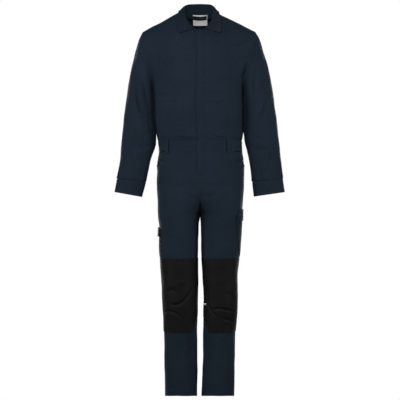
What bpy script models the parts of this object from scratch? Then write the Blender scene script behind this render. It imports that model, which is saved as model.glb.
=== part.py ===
"""Boiler suit in the hollow shape of a worn garment, with nobody in it.

Metres, +Z up. The garment faces -Y and its wearer's right is at -X. The origin lies between the shoulders
at the base of the neck, which is where the wearer holds the garment up.

Each cloth piece is a grid of points on its outer face, lofted through the rows of a short table. Grids that
are sewn together share the points and the normals of their seam, and their walls are then drawn a hair apart.
"""

import math
from collections import namedtuple

import bmesh
import bpy
from mathutils import Vector

# Cloth and seams
CLOTH = 0.0016
BAND = 0.0024
DOUBLED = 0.0020
LABEL_CLOTH = 0.0010
SEAM_GAP = 0.0003
ROUNDNESS = 2.15
SHARP = math.radians(40)

# Heights of the main lines
ARMPIT = -0.325
WAIST_TOP = -0.517
WAIST_BOTTOM = -0.557
CROTCH = -0.812
HEM = -1.5355
HEM_FALL = 0.0115
HEM_FALL_START = -1.475
FRONT_RISE_START = -0.700
BACK_RISE_START = -0.670

# Columns of quads round each half of the garment, and rows along the armhole and down the sleeve
COLUMNS = 8
ARMHOLE_ROWS = 8
SLEEVE_ROWS = 15
SLEEVE_SPREAD = 1.15
BODICE_ROWS = (ARMPIT, -0.375, -0.425, -0.475, WAIST_TOP)
RISE_ANGLES = (0, 30, 50, 66, 78, 90)

# Neck opening and shoulders
NECK_FRONT = Vector((0, -0.078, -0.077))
NECK_BACK = Vector((0, 0.062, -0.012))
NECK_SIDE_HEIGHTS = {"right": 0.008, "left": 0.004}
NECK_HALVES = {"right": 0.078, "left": 0.064}
NECK_ANGLES = (0, 17, 38, 63, 90)
NECK_SAG = 1.3
ARMHOLE_FRONT_DEPTH = 0.075
ARMHOLE_BACK_DEPTH = 0.080
ARMHOLE_PULL = 3
ARMHOLE_BOW = 0.006

# Covered fly
FLY_RIGHT_EDGE = 0.012
FLY_LEFT_EDGE = 0.017
FLY_END = -0.650

# What lies on a panel is this far off it
LAID_GAP = 0.0005

# Hip pocket openings: how far in each starts, and the cloth that shows behind
SCOOP_EDGES = {"right": 0.126, "left": 0.131}
SCOOP_DEPTH = 0.052
SCOOP_CORNER = 0.020
SCOOP_FALL = 0.004
FACING_COLUMNS = (3.85, 5, 6, 7, COLUMNS - 0.05)
FACING_TOP_ROW = 0.03
FACING_END = -0.650

# Knee patches
KNEE_TOP = -0.986
KNEE_BOTTOM = -1.283
KNEE_INNER_MARGIN = 0.10
KNEE_OUTER_MARGIN = 0.18
CHAMFER_START = 0.012
CHAMFER_RISE = 0.062
CHAMFER_RUN = 0.026

# Rows of the trouser panels from the waist to the fly's end, then from the crotch to the hem
HIP_ROWS = (WAIST_BOTTOM, -0.590, -0.620, FLY_END)
THIGH_ROWS = (-0.832, -0.865, -0.925)
KNEE_ROWS = (KNEE_TOP, -1.035, -1.085, -1.135, -1.185, -1.235, KNEE_BOTTOM)
SHIN_ROWS = (-1.345, -1.410, HEM_FALL_START, HEM)

# Belt loops
LOOP_WIDTH = 0.012
LOOP_BOW = 0.0014
LOOP_LIFT = 0.0016
LOOP_CENTRES = {"right": -0.131, "left": 0.111}
LOOP_HEIGHTS = (WAIST_TOP + 0.006, WAIST_TOP - 0.002, -0.537, WAIST_BOTTOM + 0.002, WAIST_BOTTOM - 0.010)

# Tab in the seam beside the left knee
TAB_HEIGHT = -1.171
TAB_COLUMN = 1.35
TAB_WIDTH = 0.0075
TAB_RISE = 0.007

# Bare labels inside the back of the neck
Label = namedtuple("Label", "left right top middle bottom sag stand_off")
NECK_LABEL = Label(-0.029, 0.028, 0.0035, NECK_BACK.z, -0.0385, 0, 0.0026)
NECK_TAG = Label(-0.033, 0.026, -0.0004, -0.0066, -0.0165, 0.0020, 0.0056)
LABEL_STEPS = 4
BACK_SLOPE = 0.45
BACK_HOLLOW = 12

# Where the sleeve ends and the cuff begins
CUFF_SHARE = 0.915
CUFF_MIDDLE = 0.957

# Cutters reach past the cloth: outwards, upwards, and from front to back
CUTTER_OUT = 0.210
CUTTER_OVER = 0.010
CUTTER_FRONT = -0.200
CUTTER_BACK = 0.020

# Half-widths on the wearer's right and left, and depths to the front and back, at each height
Ring = namedtuple("Ring", "height right left front back")
BODICE = (
    Ring(ARMPIT, 0.196, 0.176, 0.125, 0.115),
    Ring(-0.400, 0.187, 0.1760, 0.124, 0.112),
    Ring(-0.470, 0.179, 0.1738, 0.118, 0.108),
    Ring(WAIST_TOP, 0.171, 0.168, 0.112, 0.103),
)
TROUSERS = (
    Ring(WAIST_TOP, 0.171, 0.168, 0.112, 0.103),
    Ring(WAIST_BOTTOM, 0.167, 0.170, 0.111, 0.104),
    Ring(-0.610, 0.175, 0.1765, 0.114, 0.118),
    Ring(-0.680, 0.176, 0.177, 0.116, 0.132),
    Ring(-0.753, 0.173, 0.1735, 0.112, 0.136),
    Ring(-0.814, 0.1715, 0.1705, 0.106, 0.130),
    Ring(-0.860, 0.1670, 0.1665, 0.103, 0.123),
    Ring(-0.956, 0.1650, 0.1595, 0.098, 0.112),
    Ring(-1.077, 0.1555, 0.150, 0.090, 0.094),
    Ring(-1.158, 0.152, 0.1505, 0.088, 0.083),
    Ring(-1.292, 0.1475, 0.142, 0.079, 0.088),
    Ring(-1.400, 0.1455, 0.140, 0.076, 0.086),
    Ring(HEM, 0.142, 0.136, 0.074, 0.080),
)
# Where the inside of each leg lies
Inseam = namedtuple("Inseam", "height right left")
INSEAMS = (
    Inseam(CROTCH, 0.000, 0.000),
    Inseam(-0.850, 0.0078, 0.0034),
    Inseam(-0.956, 0.0090, 0.0040),
    Inseam(-1.077, 0.0100, 0.0110),
    Inseam(-1.158, 0.0110, 0.0155),
    Inseam(-1.292, 0.0120, 0.0105),
    Inseam(-1.400, 0.0120, 0.0100),
    Inseam(HEM, 0.0120, 0.0070),
)

# Sleeve rings: a ring leans from its outer point to its inner point, and turns level down the arm
Hoop = namedtuple("Hoop", "share out_x out_z in_x in_z front back middle")
SLEEVE_RIGHT = (
    Hoop(0.00, 0.233, -0.073, 0.196, ARMPIT, ARMHOLE_FRONT_DEPTH, ARMHOLE_BACK_DEPTH, 0.0),
    Hoop(0.07, 0.250, -0.105, 0.1962, -0.341, 0.080, 0.084, 0.0),
    Hoop(0.15, 0.262, -0.146, 0.1938, -0.358, 0.082, 0.085, 0.0),
    Hoop(0.24, 0.2745, -0.200, 0.1908, -0.378, 0.082, 0.084, 0.0),
    Hoop(0.34, 0.289, -0.270, 0.1880, -0.402, 0.079, 0.081, 0.001),
    Hoop(0.45, 0.3005, -0.348, 0.1846, -0.434, 0.075, 0.077, 0.002),
    Hoop(0.56, 0.3100, -0.434, 0.1795, -0.476, 0.070, 0.073, 0.001),
    Hoop(0.67, 0.3195, -0.512, 0.1790, -0.522, 0.066, 0.068, -0.004),
    Hoop(0.79, 0.3255, -0.595, 0.2015, -0.596, 0.058, 0.060, -0.010),
    Hoop(CUFF_SHARE, 0.3355, -0.668, 0.2190, -0.680, 0.043, 0.046, -0.020),
    Hoop(1.00, 0.3455, -0.721, 0.2350, -0.741, 0.033, 0.036, -0.026),
)
SLEEVE_LEFT = (
    Hoop(0.00, 0.223, -0.073, 0.176, ARMPIT, ARMHOLE_FRONT_DEPTH, ARMHOLE_BACK_DEPTH, 0.0),
    Hoop(0.07, 0.241, -0.105, 0.1770, -0.341, 0.080, 0.084, 0.0),
    Hoop(0.15, 0.255, -0.146, 0.1775, -0.358, 0.082, 0.085, 0.0),
    Hoop(0.24, 0.2705, -0.200, 0.1775, -0.378, 0.082, 0.084, 0.0),
    Hoop(0.34, 0.2848, -0.270, 0.1773, -0.402, 0.079, 0.081, 0.001),
    Hoop(0.45, 0.2970, -0.348, 0.1768, -0.432, 0.075, 0.077, 0.002),
    Hoop(0.56, 0.3095, -0.434, 0.1750, -0.468, 0.070, 0.073, 0.001),
    Hoop(0.67, 0.3185, -0.512, 0.1790, -0.516, 0.066, 0.068, -0.004),
    Hoop(0.79, 0.3265, -0.595, 0.1975, -0.598, 0.058, 0.060, -0.010),
    Hoop(CUFF_SHARE, 0.3325, -0.668, 0.2095, -0.680, 0.043, 0.046, -0.020),
    Hoop(1.00, 0.3395, -0.7215, 0.2160, -0.7395, 0.033, 0.036, -0.026),
)

# Collar from the centre back to the front end: where it folds, and where the fall's edge lies
Fold = namedtuple(
    "Fold", "share fold_right fold_left fold_y fold_z edge_right edge_left edge_y edge_z roll"
)
COLLAR = (
    Fold(0.00, 0.0000, 0.0000, 0.068, 0.0490, 0.0000, 0.0000, 0.0930, -0.0060, 0.0070),
    Fold(0.14, 0.0265, 0.0225, 0.065, 0.0480, 0.0370, 0.0310, 0.0900, -0.0060, 0.0070),
    Fold(0.28, 0.0475, 0.0400, 0.054, 0.0450, 0.0625, 0.0520, 0.0740, -0.0040, 0.0065),
    Fold(0.43, 0.0590, 0.0480, 0.030, 0.0370, 0.0795, 0.0655, 0.0380, 0.0030, 0.0055),
    Fold(0.57, 0.0655, 0.0530, 0.000, 0.0200, 0.0850, 0.0695, -0.0060, 0.0060, 0.0045),
    Fold(0.72, 0.0610, 0.0500, -0.032, -0.0120, 0.0850, 0.0760, -0.0560, -0.0180, 0.0050),
    Fold(0.86, 0.0440, 0.0390, -0.064, -0.0490, 0.0830, 0.0790, -0.0840, -0.0540, 0.0050),
    Fold(1.00, 0.0205, 0.0187, -0.084, -0.0740, 0.0800, 0.0780, -0.0995, -0.0930, 0.0040),
)
FALL_ROWS = (0.0, 0.13, 0.32, 0.62, 1.0)
STAND_ROWS = (1.0, 0.5, 0.0)
ROLL_PEAK = 0.55
ROLL_OUT = 0.8
ROLL_UP = 0.6

# Thigh pockets: how many columns of the leg grid they reach past the outseam, to the front and to the back
ThighPocket = namedtuple("ThighPocket", "front back top bottom flap_top flap_bottom flap_off")
THIGH_POCKETS = {
    "right": ThighPocket(1.15, 2.6, -0.872, -0.983, -0.864, -0.900, 0.0030),
    "left": ThighPocket(2.15, 1.8, -0.802, -0.983, -0.790, -0.836, 0.0005),
}

# The left thigh pocket's front edge, which leans outwards as it goes down: distances across and heights
POCKET_EDGE_TOP = (0.1365, -0.795)
POCKET_EDGE_END = (0.1587, -0.995)
POCKET_EDGE_CLEAR = 0.120

# Colours, linear
NAVY = (0.0150, 0.0232, 0.0343, 1)
BLACK = (0.0090, 0.0088, 0.0088, 1)
WHITE = (0.68, 0.72, 0.76, 1)
TAG = (0.010, 0.011, 0.012, 1)

# The halves of the garment: which way each lies, and the name that its tables use
SIDES = {"right": -1, "left": 1}
FACES = {"front": -1, "back": 1}


def clear_scene():
    """Removes whatever the file was opened with."""
    for item in list(bpy.data.objects):
        bpy.data.objects.remove(item, do_unlink=True)


def slope_at(keys, values, index):
    """Slope of the smooth curve at one row; it is level at a row that is higher or lower than both others."""
    slopes = [
        (values[i + 1] - values[i]) / (keys[i + 1] - keys[i])
        for i in (index - 1, index)
        if 0 <= i < len(keys) - 1
    ]
    if len(slopes) == 1:
        return slopes[0]
    before, after = slopes
    return 0 if before * after <= 0 else 2 * before * after / (before + after)


def read(table, column, key):
    """A column's value between the rows of a table, on a curve that never overshoots them."""
    keys = [row[0] for row in table]
    values = [getattr(row, column) for row in table]
    rising = 1 if keys[-1] > keys[0] else -1
    index = 0
    while index < len(keys) - 2 and (key - keys[index + 1]) * rising > 0:
        index += 1
    span = keys[index + 1] - keys[index]
    t = min(max((key - keys[index]) / span, 0), 1)
    start, end = (slope_at(keys, values, i) * span for i in (index, index + 1))
    low, high = values[index], values[index + 1]
    return (
        low * (1 + 2 * t) * (1 - t) ** 2
        + start * t * (1 - t) ** 2
        + high * t * t * (3 - 2 * t)
        - end * t * t * (1 - t)
    )


def rounded(angle):
    """Cosine and sine, drawn out towards the corners of a box."""
    power = 2 / ROUNDNESS
    return (
        math.copysign(abs(math.cos(angle)) ** power, math.cos(angle)),
        abs(math.sin(angle)) ** power,
    )


class Panel:
    """One cloth piece as a grid of points on its outer face, rows from top to bottom."""

    def __init__(self, name, rows, inside, closed=False):
        self.name = name
        self.grid = rows
        self.closed = closed
        self.shift = Vector()
        self.normals = self.own_normals(inside)

    def own_normals(self, inside):
        """Area-weighted normals of the grid, pointing away from the point that inside() gives."""
        height, width = len(self.grid), len(self.grid[0])
        found = [[Vector() for _ in row] for row in self.grid]
        span = width if self.closed else width - 1
        for j in range(height - 1):
            for i in range(span):
                corners = ((j, i), (j, (i + 1) % width), (j + 1, (i + 1) % width), (j + 1, i))
                a, b, c, d = (self.grid[row][column] for row, column in corners)
                face = (c - a).cross(d - b)
                for row, column in corners:
                    found[row][column] += face
        middle = self.grid[height // 2][width // 2]
        away = 1 if found[height // 2][width // 2].dot(middle - inside(middle)) > 0 else -1
        return [[normal.normalized() * away for normal in row] for row in found]

    def at(self, row, column, lift=0.0):
        """A point between the grid's points, moved out along the normal there."""
        j, i = min(int(row), len(self.grid) - 2), min(int(column), len(self.grid[0]) - 2)
        down, across = row - j, column - i
        point, normal = (
            layer[j][i].lerp(layer[j][i + 1], across).lerp(
                layer[j + 1][i].lerp(layer[j + 1][i + 1], across), down
            )
            for layer in (self.grid, self.normals)
        )
        return point + normal.normalized() * lift + self.shift

    def row_at(self, height):
        """The row, as a share, where the grid's middle column passes a height."""
        middle = len(self.grid[0]) // 2
        heights = [row[middle].z for row in self.grid]
        for j in range(len(heights) - 1):
            if heights[j] >= height >= heights[j + 1]:
                return j + (heights[j] - height) / (heights[j] - heights[j + 1])
        return 0 if height > heights[0] else len(heights) - 1

    def wall(self, thickness):
        """Corner points of the wall: the outer face and the face behind it."""
        outer = [[point + self.shift for point in row] for row in self.grid]
        inner = [
            [point - normal * thickness for point, normal in zip(row, normals)]
            for row, normals in zip(outer, self.normals)
        ]
        return outer, inner


def sew(panels):
    """Gives panels one shared normal wherever their points meet, so that their rims lie side by side."""
    shared = {}
    for panel in panels:
        for row, normals in zip(panel.grid, panel.normals):
            for point, normal in zip(row, normals):
                key = tuple(round(value, 5) + 0.0 for value in point)
                shared.setdefault(key, Vector())
                shared[key] += normal
    for panel in panels:
        panel.normals = [
            [shared[tuple(round(value, 5) + 0.0 for value in point)].normalized() for point in row]
            for row in panel.grid
        ]


def bodice_ring(side, face, height, column):
    """A point of the bodice below the armpit, from the centre (column 0) to the side seam."""
    across, deep = rounded(math.pi / 2 * (1 - column / COLUMNS))
    return Vector((
        SIDES[side] * read(BODICE, side, height) * across,
        FACES[face] * read(BODICE, face, height) * deep,
        height,
    ))


def neck_point(side, face, index):
    """A point of the neck seam, from the centre (index 0) to the top of the shoulder."""
    angle = math.radians(NECK_ANGLES[index])
    middle = NECK_FRONT if face == "front" else NECK_BACK
    top = NECK_SIDE_HEIGHTS[side]
    return Vector((
        SIDES[side] * NECK_HALVES[side] * math.sin(angle),
        middle.y * math.cos(angle),
        top + (middle.z - top) * math.cos(angle) ** NECK_SAG,
    ))


def shoulder_line(side, face, column):
    """The bodice's top edge: the neck seam over half of the columns, then the shoulder seam."""
    half = COLUMNS // 2
    if column <= half:
        return neck_point(side, face, column)
    neck = neck_point(side, face, half)
    tip = hoop_point(side, 0, 0.5)
    return neck.lerp(tip, (column - half) / (COLUMNS - half))


def hoop_point(side, share, turn):
    """A point of a sleeve ring: turn 0 is its inside, 0.25 the front, 0.5 the outside, 0.75 the back."""
    table = SLEEVE_RIGHT if side == "right" else SLEEVE_LEFT
    out_x, out_z, in_x, in_z, front, back, middle = (
        read(table, column, share) for column in Hoop._fields[1:]
    )
    lean, deep = -math.cos(2 * math.pi * turn), math.sin(2 * math.pi * turn)
    bow = ARMHOLE_BOW * max(0, 1 - 6 * share) * abs(deep)
    x = (out_x + in_x) / 2 + (out_x - in_x) / 2 * lean - bow
    z = (out_z + in_z) / 2 + (out_z - in_z) / 2 * lean
    y = middle - (front if deep > 0 else back) * deep
    return Vector((SIDES[side] * x, y, z))


def chest_point(side, face, column, share):
    """The bodice above the armpit: columns arch up to the neck and shoulder, and the last is the armhole."""
    low = bodice_ring(side, face, ARMPIT, column)
    top = shoulder_line(side, face, column)
    arch, rise = 1 - math.cos(share * math.pi / 2), math.sin(share * math.pi / 2)
    armhole = hoop_point(side, 0, share / 2 if face == "front" else 1 - share / 2)
    side_low, side_top = (hoop_point(side, 0, turn) for turn in (0, 0.5))
    plain_side = Vector((
        side_low.x + (side_top.x - side_low.x) * arch,
        side_low.y + (side_top.y - side_low.y) * arch,
        side_low.z + (side_top.z - side_low.z) * rise,
    ))
    point = Vector((
        low.x + (top.x - low.x) * arch,
        low.y + (top.y - low.y) * arch,
        low.z + (top.z - low.z) * rise,
    ))
    return point + (armhole - plain_side) * (column / COLUMNS) ** ARMHOLE_PULL


def bodice_half(side, face):
    """Rows of half the bodice's front or back, from the shoulder down to the waist seam."""
    upper = [
        [chest_point(side, face, column, 1 - row / ARMHOLE_ROWS) for column in range(COLUMNS + 1)]
        for row in range(ARMHOLE_ROWS)
    ]
    lower = [
        [bodice_ring(side, face, height, column) for column in range(COLUMNS + 1)]
        for height in BODICE_ROWS
    ]
    return upper + lower


def whole_back(rows_of_half):
    """A back that runs from the right side seam to the left one, from its two halves."""
    right, left = (rows_of_half(side, "back") for side in SIDES)
    return [a[:0:-1] + b for a, b in zip(right, left)]


def torso_middle(point):
    """A point inside the torso, level with a given point below the neck."""
    return Vector((0, 0, point.z))


def rise_share(height, face):
    """How far forward or back of the inseam the centre seam still lies, from 1 down to 0 at the crotch."""
    start = FRONT_RISE_START if face == "front" else BACK_RISE_START
    fall = min(max((start - height) / (start - CROTCH), 0), 1)
    return math.sqrt(max(1 - fall * fall, 0))


def leg_point(side, face, height, column):
    """A point of the trousers: column 0 is the centre seam or, below the crotch, the inseam."""
    outer = read(TROUSERS, side, height)
    inner = read(INSEAMS, side, height) if height < CROTCH else 0
    share = rise_share(height, face)
    end = math.pi - math.asin(min(share ** (ROUNDNESS / 2), 1))
    wrap = abs(rounded(end)[0])
    middle = (inner + outer * wrap) / (1 + wrap)
    across, deep = rounded(end * (1 - column / COLUMNS))
    fall = HEM_FALL * min(max((HEM_FALL_START - height) / (HEM_FALL_START - HEM), 0), 1)
    return Vector((
        SIDES[side] * (middle + (outer - middle) * across),
        FACES[face] * read(TROUSERS, face, height) * deep,
        height - fall * (1 - deep if face == "front" else 1),
    ))


def leg_heights():
    """Rows of the trouser panels: close together where the centre seam runs under into the inseam."""
    depth = CROTCH - FRONT_RISE_START
    rise = [FRONT_RISE_START + depth * math.sin(math.radians(angle)) for angle in RISE_ANGLES]
    return [*HIP_ROWS, *rise, *THIGH_ROWS, *KNEE_ROWS, *SHIN_ROWS]


def trouser_half(side, face):
    """Rows of one leg panel."""
    return [
        [leg_point(side, face, height, column) for column in range(COLUMNS + 1)]
        for height in leg_heights()
    ]


def waistband_half(side, face):
    """The two rows of half the waistband's front or back."""
    return [
        [leg_point(side, face, height, column) for column in range(COLUMNS + 1)]
        for height in (WAIST_TOP, WAIST_BOTTOM)
    ]


def leg_middle(side):
    """Gives a point inside the leg, level with a given point."""
    middle = (read(TROUSERS, side, CROTCH) + read(INSEAMS, side, CROTCH)) / 2
    return lambda point: Vector((SIDES[side] * middle, 0, point.z))


def sleeve_rows(side, shares):
    """Rows round the sleeve, whose first turn is at the armpit."""
    turns = [step / (2 * ARMHOLE_ROWS) for step in range(2 * ARMHOLE_ROWS)]
    return [[hoop_point(side, share, turn) for turn in turns] for share in shares]


def sleeve_middle(side):
    """Gives a point below or above the sleeve's middle, level with a given point."""
    inside, outside = (hoop_point(side, 0.5, turn) for turn in (0, 0.5))
    centre = inside.lerp(outside, 0.5)
    return lambda point: Vector((centre.x, centre.y, point.z))


def torso_panels(name, rows_of_half):
    """Two fronts and a back, from the rows of half a front or half a back."""
    panels = {
        f"{name}_front_{side}": Panel(
            f"{name}_front_{side}", rows_of_half(side, "front"), torso_middle
        )
        for side in SIDES
    }
    panels[f"{name}_back"] = Panel(f"{name}_back", whole_back(rows_of_half), torso_middle)
    return panels


def make_bodice():
    """Right front, left front and back, sewn at the shoulders and sides."""
    return torso_panels("bodice", bodice_half)


def make_waistband():
    """The band between bodice and trousers, in the same three pieces as the bodice."""
    return torso_panels("waistband", waistband_half)


def make_trousers():
    """Four leg panels, each from the waistband to the hem."""
    return {
        f"trouser_{face}_{side}": Panel(
            f"trouser_{face}_{side}", trouser_half(side, face), leg_middle(side)
        )
        for side in SIDES
        for face in FACES
    }


def draw_apart(panels):
    """Moves sewn panels half a seam gap to their own side of each seam."""
    half = SEAM_GAP / 2
    for name, panel in panels.items():
        if "front" in name:
            panel.shift.y -= half
        if "back" in name:
            panel.shift.y += half
        if "right" in name:
            panel.shift.x -= half
        if "left" in name:
            panel.shift.x += half
        if "waistband" in name:
            panel.shift.z -= SEAM_GAP
        if "trouser" in name:
            panel.shift.z -= 2 * SEAM_GAP


def share_armhole(sleeve, front, back, side):
    """Turns both cloths' normals towards each other round the armhole, more so nearer the shoulder."""
    back_column = 0 if side == "right" else 2 * COLUMNS
    seams = [(front, ARMHOLE_ROWS - turn, COLUMNS, turn) for turn in range(1, ARMHOLE_ROWS)]
    seams += [(back, ARMHOLE_ROWS - turn, back_column, -turn) for turn in range(1, ARMHOLE_ROWS)]
    own_normals = list(sleeve.normals[0])
    tip_own, tip_seam = own_normals[ARMHOLE_ROWS], front.normals[0][COLUMNS].copy()
    for panel, row, column, turn in seams:
        over = (1 - math.cos(math.pi * min(1, 1.5 * abs(turn) / ARMHOLE_ROWS))) / 2
        own, seam = own_normals[turn], panel.normals[row][column]
        both = (own + seam).normalized()
        sleeve.normals[0][turn] = own.lerp(both, over).normalized()
        panel.normals[row][column] = seam.lerp(both, over).normalized()
    tip = (tip_own + tip_seam).normalized()
    sleeve.normals[0][ARMHOLE_ROWS] = tip
    front.normals[0][COLUMNS] = tip
    back.normals[0][back_column] = tip
    first, second = sleeve.grid[0], sleeve.grid[1]
    for turn, point in enumerate(list(first)):
        along = sleeve.grid[0][(turn + 1) % len(first)] - sleeve.grid[0][turn - 1]
        off = sleeve.normals[0][turn].cross(along).normalized()
        off *= SEAM_GAP if off.dot(second[turn] - point) > 0 else -SEAM_GAP
        first[turn] = point + off


def make_sleeves(bodice):
    """Sleeves and cuffs. The first ring shares the bodice's normals over the shoulder, but not in the
    armpit, where the two cloths lie back to back."""
    made = {}
    for side, sign in SIDES.items():
        shares = [CUFF_SHARE * (row / SLEEVE_ROWS) ** SLEEVE_SPREAD for row in range(SLEEVE_ROWS + 1)]
        sleeve = Panel(f"sleeve_{side}", sleeve_rows(side, shares), sleeve_middle(side), closed=True)
        share_armhole(sleeve, bodice[f"bodice_front_{side}"], bodice["bodice_back"], side)
        top, bottom = hoop_point(side, 0, 0.5), hoop_point(side, 0, 0)
        away = Vector((top.z - bottom.z, 0, bottom.x - top.x)).normalized()
        sleeve.shift = away * (sign if away.x > 0 else -sign) * SEAM_GAP
        cuff = Panel(
            f"cuff_{side}",
            sleeve_rows(side, (CUFF_SHARE, CUFF_MIDDLE, 1)),
            sleeve_middle(side),
            closed=True,
        )
        sew([sleeve, cuff])
        along = hoop_point(side, 1, 0) - hoop_point(side, CUFF_SHARE, 0)
        cuff.shift = sleeve.shift + along.normalized() * SEAM_GAP
        made[sleeve.name] = sleeve
        made[cuff.name] = cuff
    return made


def collar_column(side, share, row):
    """A point of the collar's hidden face: row 0 is the fold and row 1 the edge of the fall."""
    fold = Vector([read(COLLAR, f"fold_{axis}", share) for axis in (side, "y", "z")])
    edge = Vector([read(COLLAR, f"edge_{axis}", share) for axis in (side, "y", "z")])
    out = Vector((edge.x - fold.x, edge.y - fold.y, 0)).normalized()
    bulge = read(COLLAR, "roll", share) * math.sin(math.pi * row**ROLL_PEAK)
    point = fold.lerp(edge, row) + (out * ROLL_OUT + Vector((0, 0, ROLL_UP))) * bulge
    return Vector((SIDES[side] * point.x, point.y, point.z))


def make_collar():
    """Stand and fall of the collar: up from the neck seam to the fold, then over and down to the edge."""
    half = COLUMNS // 2
    seam = {
        side: [neck_point(side, "back", index) for index in range(half + 1)]
        + [neck_point(side, "front", index) for index in range(half - 1, 0, -1)]
        for side in SIDES
    }
    shares = [row.share for row in COLLAR]
    fold = {side: [collar_column(side, share, 0) for share in shares] for side in SIDES}
    stand_rows = []
    for share in STAND_ROWS:
        row = {
            side: [low.lerp(high, share) for low, high in zip(seam[side], fold[side])] for side in SIDES
        }
        stand_rows.append(row["right"][:0:-1] + row["left"])
    fall_rows = []
    for share in FALL_ROWS:
        row = {side: [collar_column(side, place, share) for place in shares] for side in SIDES}
        fall_rows.append(row["right"][:0:-1] + row["left"])
    stand = Panel("collar_stand", stand_rows, torso_middle)
    fall = Panel("collar_fall", fall_rows, lambda point: point + Vector((0, 0, 1)))
    sew([stand, fall])
    stand.shift.z = 2 * SEAM_GAP
    fall.shift.z = 4 * SEAM_GAP
    return stand, fall


def collect(name):
    """A new collection in the scene."""
    made = bpy.data.collections.new(name)
    bpy.context.scene.collection.children.link(made)
    return made


def finish(name, colour, roughness):
    """A Principled material."""
    material = bpy.data.materials.new(name)
    material.use_nodes = True
    shader = material.node_tree.nodes["Principled BSDF"]
    shader.inputs["Base Color"].default_value = colour
    shader.inputs["Roughness"].default_value = roughness
    shader.inputs["Metallic"].default_value = 0
    material.diffuse_color = colour
    return material


def add_solid(name, outer, inner, closed, collection, material):
    """One closed wall between two grids of points."""
    mesh = bmesh.new()
    height, width = len(outer), len(outer[0])
    front, behind = (
        [[mesh.verts.new(point) for point in row] for row in grid] for grid in (outer, inner)
    )
    span = width if closed else width - 1
    for j in range(height - 1):
        for i in range(span):
            k = (i + 1) % width
            mesh.faces.new((front[j][i], front[j + 1][i], front[j + 1][k], front[j][k]))
            mesh.faces.new((behind[j][i], behind[j][k], behind[j + 1][k], behind[j + 1][i]))
    border = [[(j, i), (j, (i + 1) % width)] for j in (0, height - 1) for i in range(span)]
    if not closed:
        border += [[(j, i), (j + 1, i)] for i in (0, width - 1) for j in range(height - 1)]
    for (a, b), (c, d) in border:
        mesh.faces.new((front[a][b], front[c][d], behind[c][d], behind[a][b]))
    made = link_mesh(mesh, name, collection)
    made.data.materials.append(material)
    made.data.shade_smooth()
    made.data.set_sharp_from_angle(angle=SHARP)


def link_mesh(mesh, name, collection):
    """Turns a bmesh outwards and puts it in a collection as an object."""
    bmesh.ops.recalc_face_normals(mesh, faces=mesh.faces)
    data = bpy.data.meshes.new(name)
    mesh.to_mesh(data)
    mesh.free()
    made = bpy.data.objects.new(name, data)
    collection.objects.link(made)
    return made


def add_panel(panel, thickness, collection, material):
    """A panel's wall as a part."""
    outer, inner = panel.wall(thickness)
    add_solid(panel.name, outer, inner, panel.closed, collection, material)


def add_patch(name, places, lift, thickness, collection, material):
    """A wall laid on panels, over a grid of (panel, row, column)."""
    outer, inner = (
        [[panel.at(row, column, off) for panel, row, column in line] for line in places]
        for off in (lift + thickness, lift)
    )
    add_solid(name, outer, inner, False, collection, material)


def column_for(panel, row, x):
    """The column, as a share, where the first quad of a row passes a distance from the centre."""
    start, end = (abs(panel.at(row, column).x) for column in (0, 1))
    return (abs(x) - start) / (end - start)


def fly_places(panels):
    """Rows of the covered fly, over the bodice, the waistband and the top of the trousers."""
    places = []
    for group in ("bodice_front", "waistband_front", "trouser_front"):
        right, left = panels[f"{group}_right"], panels[f"{group}_left"]
        last = right.row_at(FLY_END) if group == "trouser_front" else len(right.grid) - 1
        for row in range(int(round(last)) + 1):
            if group != "bodice_front" and row == 0:
                continue
            places.append([
                (right, row, column_for(right, row, FLY_RIGHT_EDGE)),
                (right, row, 0),
                (left, row, 0),
                (left, row, column_for(left, row, FLY_LEFT_EDGE)),
            ])
    return places


def leg_ring_place(panels, side, past, row):
    """A place on a leg, counted in columns from the outseam: minus is the front and plus the back."""
    face = "front" if past <= 0 else "back"
    return panels[f"trouser_{face}_{side}"], row, COLUMNS - abs(past)


def thigh_places(panels, side, top, bottom):
    """A grid round the outseam, between two heights."""
    pocket = THIGH_POCKETS[side]
    panel = panels[f"trouser_front_{side}"]
    first, last = panel.row_at(top), panel.row_at(bottom)
    rows = [first] + [row for row in range(len(panel.grid)) if first + 0.15 < row < last - 0.15] + [last]
    columns = [-pocket.front]
    columns += [float(step) for step in range(-int(pocket.front), int(pocket.back) + 1)]
    columns += [pocket.back]
    return [[leg_ring_place(panels, side, past, row) for past in columns] for row in rows]


def add_thigh_pockets(panels, parts, cloth):
    """A bag and a flap on the outside of each thigh."""
    for side, pocket in THIGH_POCKETS.items():
        bag = thigh_places(panels, side, pocket.top, pocket.bottom)
        add_patch(f"thigh_pocket_{side}", bag, LAID_GAP, CLOTH, parts, cloth)
        flap = thigh_places(panels, side, pocket.flap_top, pocket.flap_bottom)
        off = LAID_GAP + CLOTH + pocket.flap_off
        add_patch(f"thigh_flap_{side}", flap, off, CLOTH, parts, cloth)


def knee_places(panels, side):
    """The whole front of the leg at the knee, a seam's width short of the inseam and the outseam."""
    panel = panels[f"trouser_front_{side}"]
    first, last = panel.row_at(KNEE_TOP), panel.row_at(KNEE_BOTTOM)
    columns = [KNEE_INNER_MARGIN, *range(1, COLUMNS), COLUMNS - KNEE_OUTER_MARGIN]
    return [
        [(panel, row, column) for column in columns] for row in range(round(first), round(last) + 1)
    ]


def add_belt_loops(parts, cloth):
    """Two loops in front and one at the centre back."""
    for side, centre in LOOP_CENTRES.items():
        add_loop(f"belt_loop_{side}", side, "front", centre, parts, cloth)
    add_loop("belt_loop_back", "left", "back", 0, parts, cloth)


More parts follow.
